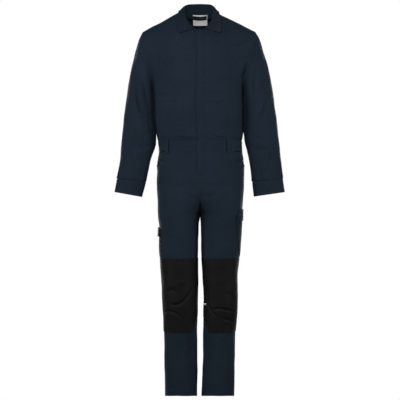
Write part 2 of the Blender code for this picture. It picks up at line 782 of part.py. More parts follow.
def waist_skin(side, face, x, height):
    """A point of the garment's outside near the waist, and the way out from it."""
    table = BODICE if height > WAIST_TOP else TROUSERS
    half, depth = (read(table, column, height) for column in (side, face))
    across = abs(x) / half
    deep = (1 - across**ROUNDNESS) ** (1 / ROUNDNESS)
    point = Vector((x, FACES[face] * depth * deep, height))
    out = Vector((
        math.copysign(across ** (ROUNDNESS - 1) / half, x),
        FACES[face] * deep ** (ROUNDNESS - 1) / depth,
        0,
    ))
    return point, out.normalized()


def add_loop(name, side, face, centre, parts, cloth):
    """A narrow strip that bows off the waistband between its ends."""
    outer, inner = [], []
    for index, height in enumerate(LOOP_HEIGHTS):
        bow = LOOP_BOW * math.sin(math.pi * index / (len(LOOP_HEIGHTS) - 1))
        line = [waist_skin(side, face, centre + LOOP_WIDTH * end, height) for end in (-0.5, 0.5)]
        inner.append([point + out * (LOOP_LIFT + bow) for point, out in line])
        outer.append([point + out * (LOOP_LIFT + bow + DOUBLED) for point, out in line])
    add_solid(name, outer, inner, False, parts, cloth)


def cut(target, cutter):
    """Takes a cutter's shape out of a part."""
    modifier = target.modifiers.new("cut " + cutter.name, "BOOLEAN")
    modifier.operation = "DIFFERENCE"
    modifier.solver = "EXACT"
    modifier.object = cutter


def add_cutter(name, side, outline, cutters):
    """A prism through the garment's front, over an outline of distances from the centre and heights."""
    mesh = bmesh.new()
    ends = [
        [mesh.verts.new((SIDES[side] * x, y, z)) for x, z in outline]
        for y in (CUTTER_FRONT, CUTTER_BACK)
    ]
    for end in ends:
        mesh.faces.new(end)
    for i in range(len(outline)):
        k = (i + 1) % len(outline)
        mesh.faces.new((ends[0][i], ends[0][k], ends[1][k], ends[1][i]))
    made = link_mesh(mesh, name, cutters)
    made.hide_render = True
    made.display_type = "WIRE"
    return made


def cut_hip_scoops(parts, cutters):
    """Hip pocket openings: each takes the top outer corner off a trouser front, with a round inner corner."""
    top, low = WAIST_BOTTOM + CUTTER_OVER, WAIST_BOTTOM - SCOOP_DEPTH
    for side, inner in SCOOP_EDGES.items():
        corner = [
            (
                inner + SCOOP_CORNER * (1 - math.cos(math.radians(angle))),
                low + SCOOP_CORNER * (1 - math.sin(math.radians(angle))),
            )
            for angle in (0, 30, 60, 90)
        ]
        outline = [(inner, top), *corner, (CUTTER_OUT, low - SCOOP_FALL), (CUTTER_OUT, top)]
        cut(parts.objects[f"trouser_front_{side}"], add_cutter(f"scoop_{side}", side, outline, cutters))


def add_hip_facings(panels, parts, cloth):
    """The cloth that shows in each hip pocket opening, just behind the trouser front."""
    depth = -(CLOTH + LAID_GAP + CLOTH)
    for side in SIDES:
        panel = panels[f"trouser_front_{side}"]
        rows = [FACING_TOP_ROW, *range(1, len(HIP_ROWS) - 1), panel.row_at(FACING_END)]
        places = [[(panel, row, column) for column in FACING_COLUMNS] for row in rows]
        add_patch(f"hip_facing_{side}", places, depth, CLOTH, parts, cloth)


def cut_knee_corners(parts, cutters):
    """The patches' lower inner corners are cut off at a slant."""
    top, low = KNEE_BOTTOM + CHAMFER_RISE, KNEE_BOTTOM - CUTTER_OVER
    outline = [
        (-CHAMFER_START, top),
        (CHAMFER_START, top),
        (CHAMFER_START + CHAMFER_RUN, low),
        (-CHAMFER_START, low),
    ]
    for side in SIDES:
        cut(parts.objects[f"knee_patch_{side}"], add_cutter(f"corner_{side}", side, outline, cutters))


def cut_pocket_edge(parts, cutters):
    """The left thigh pocket's front edge is cut to lean outwards."""
    outline = [
        (POCKET_EDGE_CLEAR, POCKET_EDGE_TOP[1]),
        POCKET_EDGE_TOP,
        POCKET_EDGE_END,
        (POCKET_EDGE_CLEAR, POCKET_EDGE_END[1]),
    ]
    cut(parts.objects["thigh_pocket_left"], add_cutter("pocket_edge", "left", outline, cutters))


def add_neck_label(name, label, parts, material):
    """A bare label or tape inside the back of the neck. A tape held by its ends sags between them."""
    shares = [step / LABEL_STEPS for step in range(LABEL_STEPS + 1)]
    outer = [
        [
            back_inside(
                label.left + (label.right - label.left) * share,
                height - label.sag * (1 - (2 * share - 1) ** 2),
                label.stand_off,
            )
            for share in shares
        ]
        for height in (label.top, label.middle, label.bottom)
    ]
    inner = [[point + Vector((0, LABEL_CLOTH, 0)) for point in line] for line in outer]
    add_solid(name, outer, inner, False, parts, material)


def back_inside(x, height, stand_off):
    """A point off the inside of the back at the neck, over the stand or over the bodice below it."""
    seam = NECK_BACK
    if height > seam.z:
        fold = COLLAR[0]
        y = seam.y + (fold.fold_y - seam.y) * (height - seam.z) / (fold.fold_z - seam.z)
    else:
        y = seam.y + (seam.z - height) * BACK_SLOPE
    return Vector((x, y - CLOTH - stand_off - BACK_HOLLOW * x * x, height))


def add_knee_tab(panels, parts, white):
    """A small tab sewn by its end to the inner edge of the left knee patch."""
    panel = panels["trouser_front_left"]
    root = panel.at(panel.row_at(TAB_HEIGHT), TAB_COLUMN, LAID_GAP + CLOTH + LAID_GAP)
    outer, inner = (
        [
            [Vector((root.x - across, root.y - off, root.z + up)) for across in (0, TAB_WIDTH)]
            for up in (TAB_RISE / 2, -TAB_RISE / 2)
        ]
        for off in (LABEL_CLOTH, 0)
    )
    add_solid("knee_tab", outer, inner, False, parts, white)


def main():
    """Builds every part of the garment."""
    clear_scene()
    parts, cutters = collect("boiler_suit"), collect("cutters")
    cloth = finish("navy twill", NAVY, 0.85)
    black = finish("black knee fabric", BLACK, 0.6)
    white = finish("white label", WHITE, 0.7)
    tag = finish("dark woven tag", TAG, 0.6)

    panels = {**make_bodice(), **make_waistband(), **make_trousers()}
    sew(panels.values())
    draw_apart(panels)
    sleeves = make_sleeves(panels)
    for name, panel in {**panels, **sleeves}.items():
        folded = "waistband" in name or "cuff" in name
        add_panel(panel, BAND if folded else CLOTH, parts, cloth)
    for panel in make_collar():
        add_panel(panel, DOUBLED, parts, cloth)

    add_patch("fly_placket", fly_places(panels), LAID_GAP, DOUBLED, parts, cloth)
    add_thigh_pockets(panels, parts, cloth)
    for side in SIDES:
        add_patch(f"knee_patch_{side}", knee_places(panels, side), LAID_GAP, CLOTH, parts, black)
    add_belt_loops(parts, cloth)
    cut_hip_scoops(parts, cutters)
    add_hip_facings(panels, parts, cloth)
    cut_knee_corners(parts, cutters)
    cut_pocket_edge(parts, cutters)
    add_neck_label("neck_label", NECK_LABEL, parts, white)
    add_neck_label("neck_tag", NECK_TAG, parts, tag)
    add_knee_tab(panels, parts, white)


main()
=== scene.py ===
"""Looks of the boiler suit: every cloth piece as a thin, creased shell on the form of its solid.

Metres, +Z up. The garment faces -Y and its wearer's right is at -X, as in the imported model.
"""

import sys
import logging
import math
from dataclasses import dataclass, field
from enum import Enum
from typing import Callable, NamedTuple, Sequence

import bpy
import numpy as np
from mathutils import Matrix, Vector


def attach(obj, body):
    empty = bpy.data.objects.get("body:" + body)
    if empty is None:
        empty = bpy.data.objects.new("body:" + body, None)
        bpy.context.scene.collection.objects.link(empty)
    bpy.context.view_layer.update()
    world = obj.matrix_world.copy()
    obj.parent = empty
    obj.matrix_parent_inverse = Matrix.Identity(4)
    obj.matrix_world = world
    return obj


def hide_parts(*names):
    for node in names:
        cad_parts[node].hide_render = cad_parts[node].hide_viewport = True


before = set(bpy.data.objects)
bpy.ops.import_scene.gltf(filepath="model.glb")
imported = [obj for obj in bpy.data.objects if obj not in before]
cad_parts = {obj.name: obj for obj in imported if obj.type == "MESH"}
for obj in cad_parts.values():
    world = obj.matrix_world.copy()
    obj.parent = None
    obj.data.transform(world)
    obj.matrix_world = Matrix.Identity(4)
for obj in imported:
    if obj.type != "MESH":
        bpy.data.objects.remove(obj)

LOG = logging.getLogger("boiler_suit")
Array = np.ndarray
Point = tuple[float, float]
Place = tuple[float, float, float]
Colour = tuple[float, float, float, float]
# Columns from the centre to the side, and how box-like the rings are
UNITS = 8
ROUNDNESS = 2.15
# The least length of a normal to divide by, and to keep, and the digits to which points are the same
TINY = 1e-9
SHORT = 1e-6
SAME_DIGITS = 5


class Way(Enum):
    """A way from the middle of the garment."""

    @property
    def own(self) -> str:
        """The name that it has inside the names of pieces and columns."""
        return self.name.lower()


class Side(Way):
    """The wearer's right or left, with the way that it lies along X."""

    RIGHT = -1
    LEFT = 1


class Face(Way):
    """The front or back of the garment, with the way that it lies along Y."""

    FRONT = -1
    BACK = 1


class Area(Enum):
    """The areas of the garment that crease in their own way."""

    TORSO = "torso"
    ARM_RIGHT = "right arm"
    ARM_LEFT = "left arm"
    LEGS = "legs"


class Weave(Enum):
    """The ways that the cloths are woven."""

    TWILL = "diagonal ribs"
    PLAIN = "square mesh"


class Table:
    """Rows of numbers under a key, read between the rows on curves that never overshoot them."""

    def __init__(self, names: str, *rows: Sequence[float]) -> None:
        """Takes the names of the columns after the key, and the rows."""
        self.keys, *values = np.array(sorted(rows), float).T
        self.values = dict(zip(names.split(), values, strict=True))

    def read(self, column: str, key: float | Array) -> Array:
        """Reads one column.

        Args:
            column: The column's name.
            key: Where to read it, as a number or an array.

        Returns:
            The values there.
        """
        keys, values = self.keys, self.values[column]
        steps = np.diff(values) / np.diff(keys)
        before, after = steps[:-1], steps[1:]
        same = before * after > 0
        total = np.where(same, before + after, 1)
        inner = np.where(same, 2 * before * after / total, 0)
        slopes = np.concatenate([steps[:1], inner, steps[-1:]])
        index = np.clip(np.searchsorted(keys, key, side="right") - 1, 0, len(keys) - 2)
        span = keys[index + 1] - keys[index]
        t = np.clip((key - keys[index]) / span, 0, 1)
        return (
            values[index] * (1 + 2 * t) * (1 - t) ** 2
            + slopes[index] * span * t * (1 - t) ** 2
            + values[index + 1] * t * t * (3 - 2 * t)
            - slopes[index + 1] * span * t * t * (1 - t)
        )


ARMPIT = -0.325
WAIST_TOP = -0.517
WAIST_BOTTOM = -0.557
CROTCH = -0.812
HEM = -1.5355
HEM_FALL = 0.0115
HEM_FALL_START = -1.475
CUFF_SHARE = 0.915
LEG_CENTRE = 0.085
# Half-widths to each side and depths to the front and back, at each height
BODICE = Table(
    "right left front back",
    (ARMPIT, 0.196, 0.176, 0.125, 0.115),
    (-0.400, 0.187, 0.1760, 0.124, 0.112),
    (-0.470, 0.179, 0.1738, 0.118, 0.108),
    (WAIST_TOP, 0.171, 0.168, 0.112, 0.103),
)
TROUSERS = Table(
    "right left front back",
    (WAIST_TOP, 0.171, 0.168, 0.112, 0.103),
    (WAIST_BOTTOM, 0.167, 0.170, 0.111, 0.104),
    (-0.610, 0.175, 0.1765, 0.114, 0.118),
    (-0.680, 0.176, 0.177, 0.116, 0.132),
    (-0.753, 0.173, 0.1735, 0.112, 0.136),
    (-0.814, 0.1715, 0.1705, 0.106, 0.130),
    (-0.860, 0.1670, 0.1665, 0.103, 0.123),
    (-0.956, 0.1650, 0.1595, 0.098, 0.112),
    (-1.077, 0.1555, 0.150, 0.090, 0.094),
    (-1.158, 0.152, 0.1505, 0.088, 0.083),
    (-1.292, 0.1475, 0.142, 0.079, 0.088),
    (-1.400, 0.1455, 0.140, 0.076, 0.086),
    (HEM, 0.142, 0.136, 0.074, 0.080),
)
# How far from the centre the inside of each leg lies, at each height
INSEAMS = Table(
    "right left",
    (CROTCH, 0.000, 0.000),
    (-0.850, 0.0078, 0.0034),
    (-0.956, 0.0090, 0.0040),
    (-1.077, 0.0100, 0.0110),
    (-1.158, 0.0110, 0.0155),
    (-1.292, 0.0120, 0.0105),
    (-1.400, 0.0120, 0.0100),
    (HEM, 0.0120, 0.0070),
)
# Sleeve rings by their share of the length, each leaning from its outer point to its inner one
SLEEVES = Table(
    "right_out_x right_out_z right_in_x right_in_z "
    "left_out_x left_out_z left_in_x left_in_z front back middle",
    (0.00, 0.233, -0.073, 0.196, ARMPIT, 0.223, -0.073, 0.176, ARMPIT, 0.075, 0.080, 0.0),
    (0.07, 0.250, -0.105, 0.1962, -0.341, 0.241, -0.105, 0.1770, -0.341, 0.080, 0.084, 0.0),
    (0.15, 0.262, -0.146, 0.1938, -0.358, 0.255, -0.146, 0.1775, -0.358, 0.082, 0.085, 0.0),
    (0.24, 0.2745, -0.200, 0.1908, -0.378, 0.2705, -0.200, 0.1775, -0.378, 0.082, 0.084, 0.0),
    (0.34, 0.289, -0.270, 0.1880, -0.402, 0.2848, -0.270, 0.1773, -0.402, 0.079, 0.081, 0.001),
    (0.45, 0.3005, -0.348, 0.1846, -0.434, 0.2970, -0.348, 0.1768, -0.432, 0.075, 0.077, 0.002),
    (0.56, 0.3100, -0.434, 0.1795, -0.476, 0.3095, -0.434, 0.1750, -0.468, 0.070, 0.073, 0.001),
    (0.67, 0.3195, -0.512, 0.1790, -0.522, 0.3185, -0.512, 0.1790, -0.516, 0.066, 0.068, -0.004),
    (0.79, 0.3255, -0.595, 0.2015, -0.596, 0.3265, -0.595, 0.1975, -0.598, 0.058, 0.060, -0.010),
    (CUFF_SHARE, 0.3355, -0.668, 0.2190, -0.680, 0.3325, -0.668, 0.2095, -0.680, 0.043, 0.046, -0.020),
    (1.00, 0.3455, -0.721, 0.2350, -0.741, 0.3395, -0.7215, 0.2160, -0.7395, 0.033, 0.036, -0.026),
)
# Where the collar folds and where the edge of its fall lies, by the share of the way from the back
COLLAR = Table(
    "fold_right fold_left fold_y fold_z edge_right edge_left edge_y edge_z roll",
    (0.00, 0.0000, 0.0000, 0.068, 0.0490, 0.0000, 0.0000, 0.0930, -0.0060, 0.0070),
    (0.14, 0.0265, 0.0225, 0.065, 0.0480, 0.0370, 0.0310, 0.0900, -0.0060, 0.0070),
    (0.28, 0.0475, 0.0400, 0.054, 0.0450, 0.0625, 0.0520, 0.0740, -0.0040, 0.0065),
    (0.43, 0.0590, 0.0480, 0.030, 0.0370, 0.0795, 0.0655, 0.0380, 0.0030, 0.0055),
    (0.57, 0.0655, 0.0530, 0.000, 0.0200, 0.0850, 0.0695, -0.0060, 0.0060, 0.0045),
    (0.72, 0.0610, 0.0500, -0.032, -0.0120, 0.0850, 0.0760, -0.0560, -0.0180, 0.0050),
    (0.86, 0.0440, 0.0390, -0.064, -0.0490, 0.0830, 0.0790, -0.0840, -0.0540, 0.0050),
    (1.00, 0.0205, 0.0187, -0.084, -0.0740, 0.0800, 0.0780, -0.0995, -0.0930, 0.0040),
)
# Angles round the neck, by column
NECK_TURNS = Table("degrees", (0, 0), (1, 17), (2, 38), (3, 63), (4, 90))


class Crease(NamedTuple):
    """One soft fold in the worn cloth.

    The path is in distances across and heights. Depth is how far the trough goes in, or out where it is
    negative. Width is its half-width, and lip is the share of the depth that stands up along one side.
    """

    area: Area
    face: Face
    depth: float
    width: float
    lip: float
    path: Array


def creases(area: Area, face: Face, *rows: Sequence[float]) -> list[Crease]:
    """Creases from rows of depth, width, lip and then the path, in millimetres but for the lip.

    Args:
        area: Whose cloth they are in.
        face: Front or back.
        rows: The rows.

    Returns:
        The creases.
    """
    return [
        Crease(area, face, depth / 1000, width / 1000, lip, np.reshape(path, (-1, 2)) / 1000)
        for depth, width, lip, *path in rows
    ]


CREASES = (
    *creases(
        Area.ARM_RIGHT, Face.FRONT,
        (5, 10, 0.5, -239, -242, -225, -306, -215, -374, -205, -426, -193, -514),
        (6, 11, 0.5, -258, -251, -248, -371, -208, -454),
        (4.5, 12, -0.5, -269, -474, -262, -514, -257, -554),
        (1.6, 9, 0.4, -187, -470, -225, -500, -262, -505),
        (1.6, 10, 0.4, -190, -525, -235, -548, -280, -545),
        (2.5, 12, 0.4, -285, -560, -268, -620, -262, -655),
        (3, 14, 0.3, -238, -105, -264, -150, -270, -210),
        (3, 11, 0.5, -232, -150, -226, -200, -232, -262),
    ),
    *creases(
        Area.ARM_RIGHT, Face.BACK,
        (4.5, 12, 0.5, -240, -230, -222, -310, -207, -380),
        (4, 10, -0.5, -200, -455, -240, -470, -290, -455),
        (4.5, 10, 0.5, -195, -510, -245, -530, -300, -510),
        (3.5, 13, 0.4, -270, -250, -280, -330, -275, -400),
        (3, 11, 0.4, -240, -570, -265, -610, -275, -650),
    ),
    *creases(
        Area.ARM_LEFT, Face.FRONT,
        (6.2, 9, 0.5, 232, -156, 205, -180, 186, -206, 182, -242, 171, -262),
        (4.5, 10, -0.5, 226, -227, 210, -283, 208, -345),
        (3.5, 12, 0.4, 254, -242, 258, -280, 256, -320),
        (4.5, 11, -0.5, 270, -338, 256, -400, 236, -430),
        (1.6, 9, 0.4, 192, -480, 228, -508, 268, -512),
        (1.6, 10, 0.4, 196, -535, 240, -552, 285, -548),
        (2.8, 12, -0.4, 292, -560, 272, -620, 262, -655),
        (3, 14, 0.3, 230, -105, 256, -150, 266, -205),
    ),
    *creases(
        Area.ARM_LEFT, Face.BACK,
        (4.5, 12, -0.5, 232, -220, 212, -300, 196, -390),
        (4.5, 10, 0.5, 190, -440, 240, -462, 295, -450),
        (4, 10, -0.5, 195, -505, 245, -520, 300, -512),
        (3.5, 13, 0.4, 262, -245, 275, -320, 268, -395),
        (3, 11, 0.4, 235, -575, 262, -612, 272, -650),
    ),
    *creases(
        Area.TORSO, Face.FRONT,
        (3.5, 6, 0, -24, -83, -55, -89, -84, -98),
        (3.5, 6, 0, 24, -83, 55, -89, 84, -98),
        (3.5, 10, 0.5, 215, -95, 180, -112, 158, -125, 122, -138),
        (3.5, 10, 0.5, 205, -155, 169, -190, 128, -207),
        (5, 9, 0.4, 200, -185, 186, -206, 180, -242, 168, -268),
        (2.2, 11, 0.4, -206, -155, -172, -190, -134, -214),
        (1.8, 10, 0.4, -178, -331, -140, -338, -104, -333),
        (1.4, 9, 0.4, -140, -362, -118, -366, -96, -362),
        (1.6, 10, 0.4, 26, -366, 60, -372, 100, -367),
        (1.8, 12, 0.4, 58, -277, 100, -281, 140, -292),
        (1.4, 9, 0.4, 50, -331, 72, -334, 92, -331),
        (2.2, 6, 0.5, 34, -492, 64, -503, 92, -509),
        (1.8, 11, 0.5, -77, -330, -73, -370, -77, -412),
        (2.2, 11, -0.5, -119, -390, -124, -455, -119, -514),
        (2.2, 12, 0.5, 108, -400, 114, -455, 108, -514),
        (3, 10, -0.4, 162, -320, 160, -400, 163, -485),
        (1.2, 7, 0.4, -100, -500, -76, -507, -48, -505),
    ),
    *creases(
        Area.TORSO, Face.BACK,
        (3.5, 12, 0.5, -200, -150, -165, -200, -135, -270),
        (3.5, 12, -0.5, 196, -160, 158, -205, 132, -262),
        (2.5, 14, 0.5, -110, -330, -100, -410, -108, -505),
        (2.5, 14, -0.5, 98, -345, 106, -420, 96, -508),
        (2.2, 12, 0.5, -20, -420, -30, -460, -26, -510),
        (3, 8, 0.5, -135, -488, -90, -497, -40, -490),
        (2.8, 8, 0.5, 35, -495, 80, -489, 128, -498),
    ),
    *creases(
        Area.LEGS, Face.FRONT,
        (1.6, 8, 0.5, 10, -690, 34, -696, 62, -688),
        (1.2, 10, 0.5, 6, -742, 40, -738, 84, -716),
        (1, 10, -0.5, -6, -750, -40, -742, -78, -722),
        (4, 14, -0.4, 6, -765, 22, -854, 27, -975),
        (2.2, 12, 0.4, -8, -790, -24, -850, -30, -920),
        (-1.8, 16, 0, -90, -800, -93, -880, -86, -975),
        (-1.8, 16, 0, 90, -790, 87, -880, 86, -975),
        (4, 5, -0.15, -118, -1171, -100, -1170, -79, -1166, -53, -1140, -33, -1110),
        (3.2, 5, -0.1, -148, -1204, -130, -1199, -113, -1199, -97, -1206, -76, -1221),
        (-1, 10, 0, -98, -1087, -77, -1081, -56, -1086),
        (1.4, 10, 0.5, -135, -1120, -110, -1112, -92, -1125),
        (4.2, 5, -0.15, 46, -1191, 70, -1187, 98, -1189, 132, -1202),
        (2.2, 5, -0.1, 84, -1226, 112, -1233, 136, -1244),
        (2.8, 6, 0.35, 30, -1105, 24, -1149, 44, -1195, 72, -1224),
        (1.4, 10, 0.4, 100, -1120, 120, -1135, 138, -1160),
        (2, 14, 0.5, -96, -1300, -88, -1400, -92, -1510),
        (2, 14, -0.5, 94, -1300, 88, -1400, 90, -1510),
        (2.2, 11, 0.5, -48, -1285, -40, -1340, -46, -1400),
    ),
    *creases(
        Area.LEGS, Face.BACK,
        (3.5, 12, 0.5, -20, -795, -70, -832, -130, -826),
        (3.5, 12, 0.5, 18, -790, 68, -828, 125, -835),
        (2.5, 13, -0.5, -30, -850, -60, -900, -66, -970),
        (5.5, 10, 0.5, -30, -1085, -80, -1100, -135, -1088),
        (5, 10, -0.5, -34, -1128, -78, -1136, -130, -1130),
        (4.5, 11, 0.5, -40, -1180, -85, -1170, -138, -1184),
        (5.5, 10, 0.5, 30, -1098, 78, -1090, 134, -1104),
        (4.5, 10, -0.5, 34, -1142, 80, -1150, 128, -1138),
        (4.5, 11, 0.5, 36, -1192, 82, -1186, 130, -1198),
        (2, 15, 0.5, -86, -1260, -80, -1380, -84, -1500),
        (2, 15, -0.5, 84, -1265, 78, -1380, 80, -1500),
    ),
)


class Wave(NamedTuple):
    """A slow ripple over the whole garment: its height, its length along each axis and where it starts."""

    height: float
    across: float
    deep: float
    tall: float
    start: float


WAVES = (
    Wave(0.0007, 0.130, 0.150, 0.310, 0.3),
    Wave(0.0004, -0.210, 0.120, 0.120, 1.9),
    Wave(0.0004, 0.085, -0.080, 0.420, 4.1),
    Wave(0.0002, 0.150, 0.055, -0.060, 2.7),
)


def stacked(x: Array, y: Array, z: Array) -> Array:
    """Points from their three coordinates."""
    return np.stack(np.broadcast_arrays(x, y, z), axis=-1).astype(float)


def rounded(angle: Array) -> tuple[Array, Array]:
    """Cosine and sine, drawn out towards the corners of a box.

    Args:
        angle: The angle, in radians.

    Returns:
        Both, as shares of the half-width and depth.
    """
    power = 2 / ROUNDNESS
    across = np.sign(np.cos(angle)) * np.abs(np.cos(angle)) ** power
    return across, np.abs(np.sin(angle)) ** power


@dataclass
class Form:
    """The smooth worn form of the garment, from which every piece is cut."""

    neck_front: Point = (-0.078, -0.077)
    neck_back: Point = (0.062, -0.012)
    neck_sides: tuple[Point, ...] = ((0.078, 0.008), (0.064, 0.004))
    neck_sag: float = 1.3
    armhole_pull: float = 3.0
    armhole_bow: float = 0.006
    front_rise: float = -0.700
    back_rise: float = -0.670
    roll_out: float = 0.8
    roll_up: float = 0.6
    roll_start: float = 0.55

    def ring(self, side: Side, face: Face, height: float, column: Array) -> Array:
        """Points of the bodice below the armpit, from the centre to the side seam.

        Args:
            side: The wearer's side.
            face: Front or back.
            height: Its height.
            column: Places from 0 at the centre to UNITS at the edge.

        Returns:
            The points.
        """
        across, deep = rounded(np.pi / 2 * (1 - column / UNITS))
        half = BODICE.read(side.own, height)
        depth = BODICE.read(face.own, height)
        return stacked(side.value * half * across, face.value * depth * deep, height)

    def neck(self, side: Side, face: Face, column: Array) -> Array:
        """Points of the neck seam, from the centre to the top of the shoulder.

        Args:
            side: The wearer's side.
            face: Front or back.
            column: Places from 0 at the centre to half of UNITS at the shoulder.

        Returns:
            The points.
        """
        angle = np.radians(NECK_TURNS.read("degrees", column))
        y, z = self.neck_front if face is Face.FRONT else self.neck_back
        half, top = self.neck_sides[side is Side.LEFT]
        low = np.maximum(np.cos(angle), 0)
        return stacked(side.value * half * np.sin(angle), y * low, top + (z - top) * low**self.neck_sag)

    def shoulder(self, side: Side, face: Face, column: Array) -> Array:
        """Points of the bodice's top edge: the neck seam, then the shoulder seam.

        Args:
            side: The wearer's side.
            face: Front or back.
            column: Places from 0 at the centre to UNITS at the edge.

        Returns:
            The points.
        """
        half = UNITS / 2
        neck = self.neck(side, face, np.minimum(column, half))
        tip = self.hoop(side, 0.0, 0.5)
        out = np.maximum(column - half, 0)[:, None] / half
        return neck + (tip - neck) * out

    def hoop(self, side: Side, share: float | Array, turn: float | Array) -> Array:
        """Points of a sleeve ring: turn 0 is its inside, 0.25 the front, 0.5 the outside, 0.75 the back.

        Args:
            side: The wearer's side.
            share: The share of the sleeve's length.
            turn: The share of the way round.

        Returns:
            The points.
        """
        ends = (f"{side.own}_{end}" for end in ("out_x", "out_z", "in_x", "in_z"))
        out_x, out_z, in_x, in_z = (SLEEVES.read(name, share) for name in ends)
        front, back, middle = (SLEEVES.read(name, share) for name in ("front", "back", "middle"))
        lean, deep = -np.cos(2 * np.pi * turn), np.sin(2 * np.pi * turn)
        bow = self.armhole_bow * np.maximum(0, 1 - 6 * share) * np.abs(deep)
        x = (out_x + in_x) / 2 + (out_x - in_x) / 2 * lean - bow
        z = (out_z + in_z) / 2 + (out_z - in_z) / 2 * lean
        return stacked(side.value * x, middle - np.where(deep > 0, front, back) * deep, z)

    def chest(self, side: Side, face: Face, share: float, column: Array) -> Array:
        """Points of the bodice above the armpit, whose last column is the armhole.

        Args:
            side: The wearer's side.
            face: Front or back.
            share: 0 at the armpit and 1 at the shoulder.
            column: Places from 0 at the centre to UNITS at the edge.

        Returns:
            The points.
        """
        low = self.ring(side, face, ARMPIT, column)
        top = self.shoulder(side, face, column)
        arch, rise = 1 - math.cos(share * math.pi / 2), math.sin(share * math.pi / 2)
        grow = np.array([arch, arch, rise])
        armhole = self.hoop(side, 0.0, share / 2 if face is Face.FRONT else 1 - share / 2)
        under, tip = self.hoop(side, 0.0, 0.0), self.hoop(side, 0.0, 0.5)
        pull = armhole - (under + (tip - under) * grow)
        return low + (top - low) * grow + pull * (column[:, None] / UNITS) ** self.armhole_pull

    def leg(self, side: Side, face: Face, height: float, column: Array) -> Array:
        """Points of the trousers, from the centre seam or the inseam to the outseam.

        Args:
            side: The wearer's side.
            face: Front or back.
            height: The height of the row.
            column: Places from 0 at the centre to UNITS at the edge.

        Returns:
            The points.
        """
        outer = TROUSERS.read(side.own, height)
        inner = INSEAMS.read(side.own, height) if height < CROTCH else 0.0
        start = self.front_rise if face is Face.FRONT else self.back_rise
        fall = min(max((start - height) / (start - CROTCH), 0), 1)
        share = math.sqrt(max(1 - fall * fall, 0))
        end = math.pi - math.asin(min(share ** (ROUNDNESS / 2), 1))
        wrap = abs(float(rounded(np.array(end))[0]))
        middle = (inner + outer * wrap) / (1 + wrap)
        across, deep = rounded(end * (1 - column / UNITS))
        depth = TROUSERS.read(face.own, height)
        fall = HEM_FALL * min(max((HEM_FALL_START - height) / (HEM_FALL_START - HEM), 0), 1)
        low = fall * (1 - deep if face is Face.FRONT else 1)
        x = side.value * (middle + (outer - middle) * across)
        return stacked(x, face.value * depth * deep, height - low)

    def collar_point(self, side: Side, share: float, rows: Array) -> Array:
        """Points of the collar's fall, from the fold (row 0) to its edge (row 1).

        Args:
            side: The wearer's side.
            share: 0 at the centre back and 1 at the front.
            rows: The rows.

        Returns:
            The points.
        """
        fold, edge = (
            np.array([float(COLLAR.read(f"{line}_{axis}", share)) for axis in (side.own, "y", "z")])
            for line in ("fold", "edge")
        )
        out = (edge - fold) * (1, 1, 0)
        out = out / np.linalg.norm(out) * self.roll_out + (0, 0, self.roll_up)
        bulge = float(COLLAR.read("roll", share)) * np.sin(np.pi * rows**self.roll_start)
        point = fold + (edge - fold) * rows[:, None] + out * bulge[:, None]
        return point * (side.value, 1, 1)


FORM = Form()


def placed(name: str, data: bpy.types.ID) -> bpy.types.Object:
    """A new object in the scene.

    Args:
        name: Its name.
        data: Its mesh, lamp or camera.

    Returns:
        The object.
    """
    made = bpy.data.objects.new(name, data)
    bpy.context.scene.collection.objects.link(made)
    return made


def choose(item: bpy.types.Object) -> None:
    """Makes an object the only selected one.

    Args:
        item: The object.
    """
    bpy.ops.object.select_all(action="DESELECT")
    bpy.context.view_layer.objects.active = item
    item.select_set(True)


def smooth(low: float, high: float, value: Array) -> Array:
    """A soft step from 0 at low to 1 at high."""
    t = np.clip((value - low) / (high - low), 0, 1)
    return t * t * (3 - 2 * t)


def from_path(place: Array, path: Array) -> tuple[Array, Array, Array]:
    """The steps of a path, how far along each step each place lies, and its offset from there.

    Args:
        place: Points in two axes, with an axis of length 1 for the steps.
        path: The corners of the path.

    Returns:
        The steps, the shares and the offsets.
    """
    start, step = path[:-1], np.diff(path, axis=0)
    t = np.clip(((place - start) * step).sum(-1) / (step**2).sum(-1), 0, 1)
    return step, t, place - (start + step * t[..., None])


def along(points: Array, axis: int) -> Array:
    """Distances along the grid's rows or columns, from their start.

    Args:
        points: The grid.
        axis: 0 to go down the columns, or 1 to go across the rows.

    Returns:
        The distances, by row and column.
    """
    steps = np.linalg.norm(np.diff(points, axis=axis), axis=-1)
    shape = list(steps.shape)
    shape[axis] = 1
    return np.concatenate([np.zeros(shape), np.cumsum(steps, axis=axis)], axis=axis)


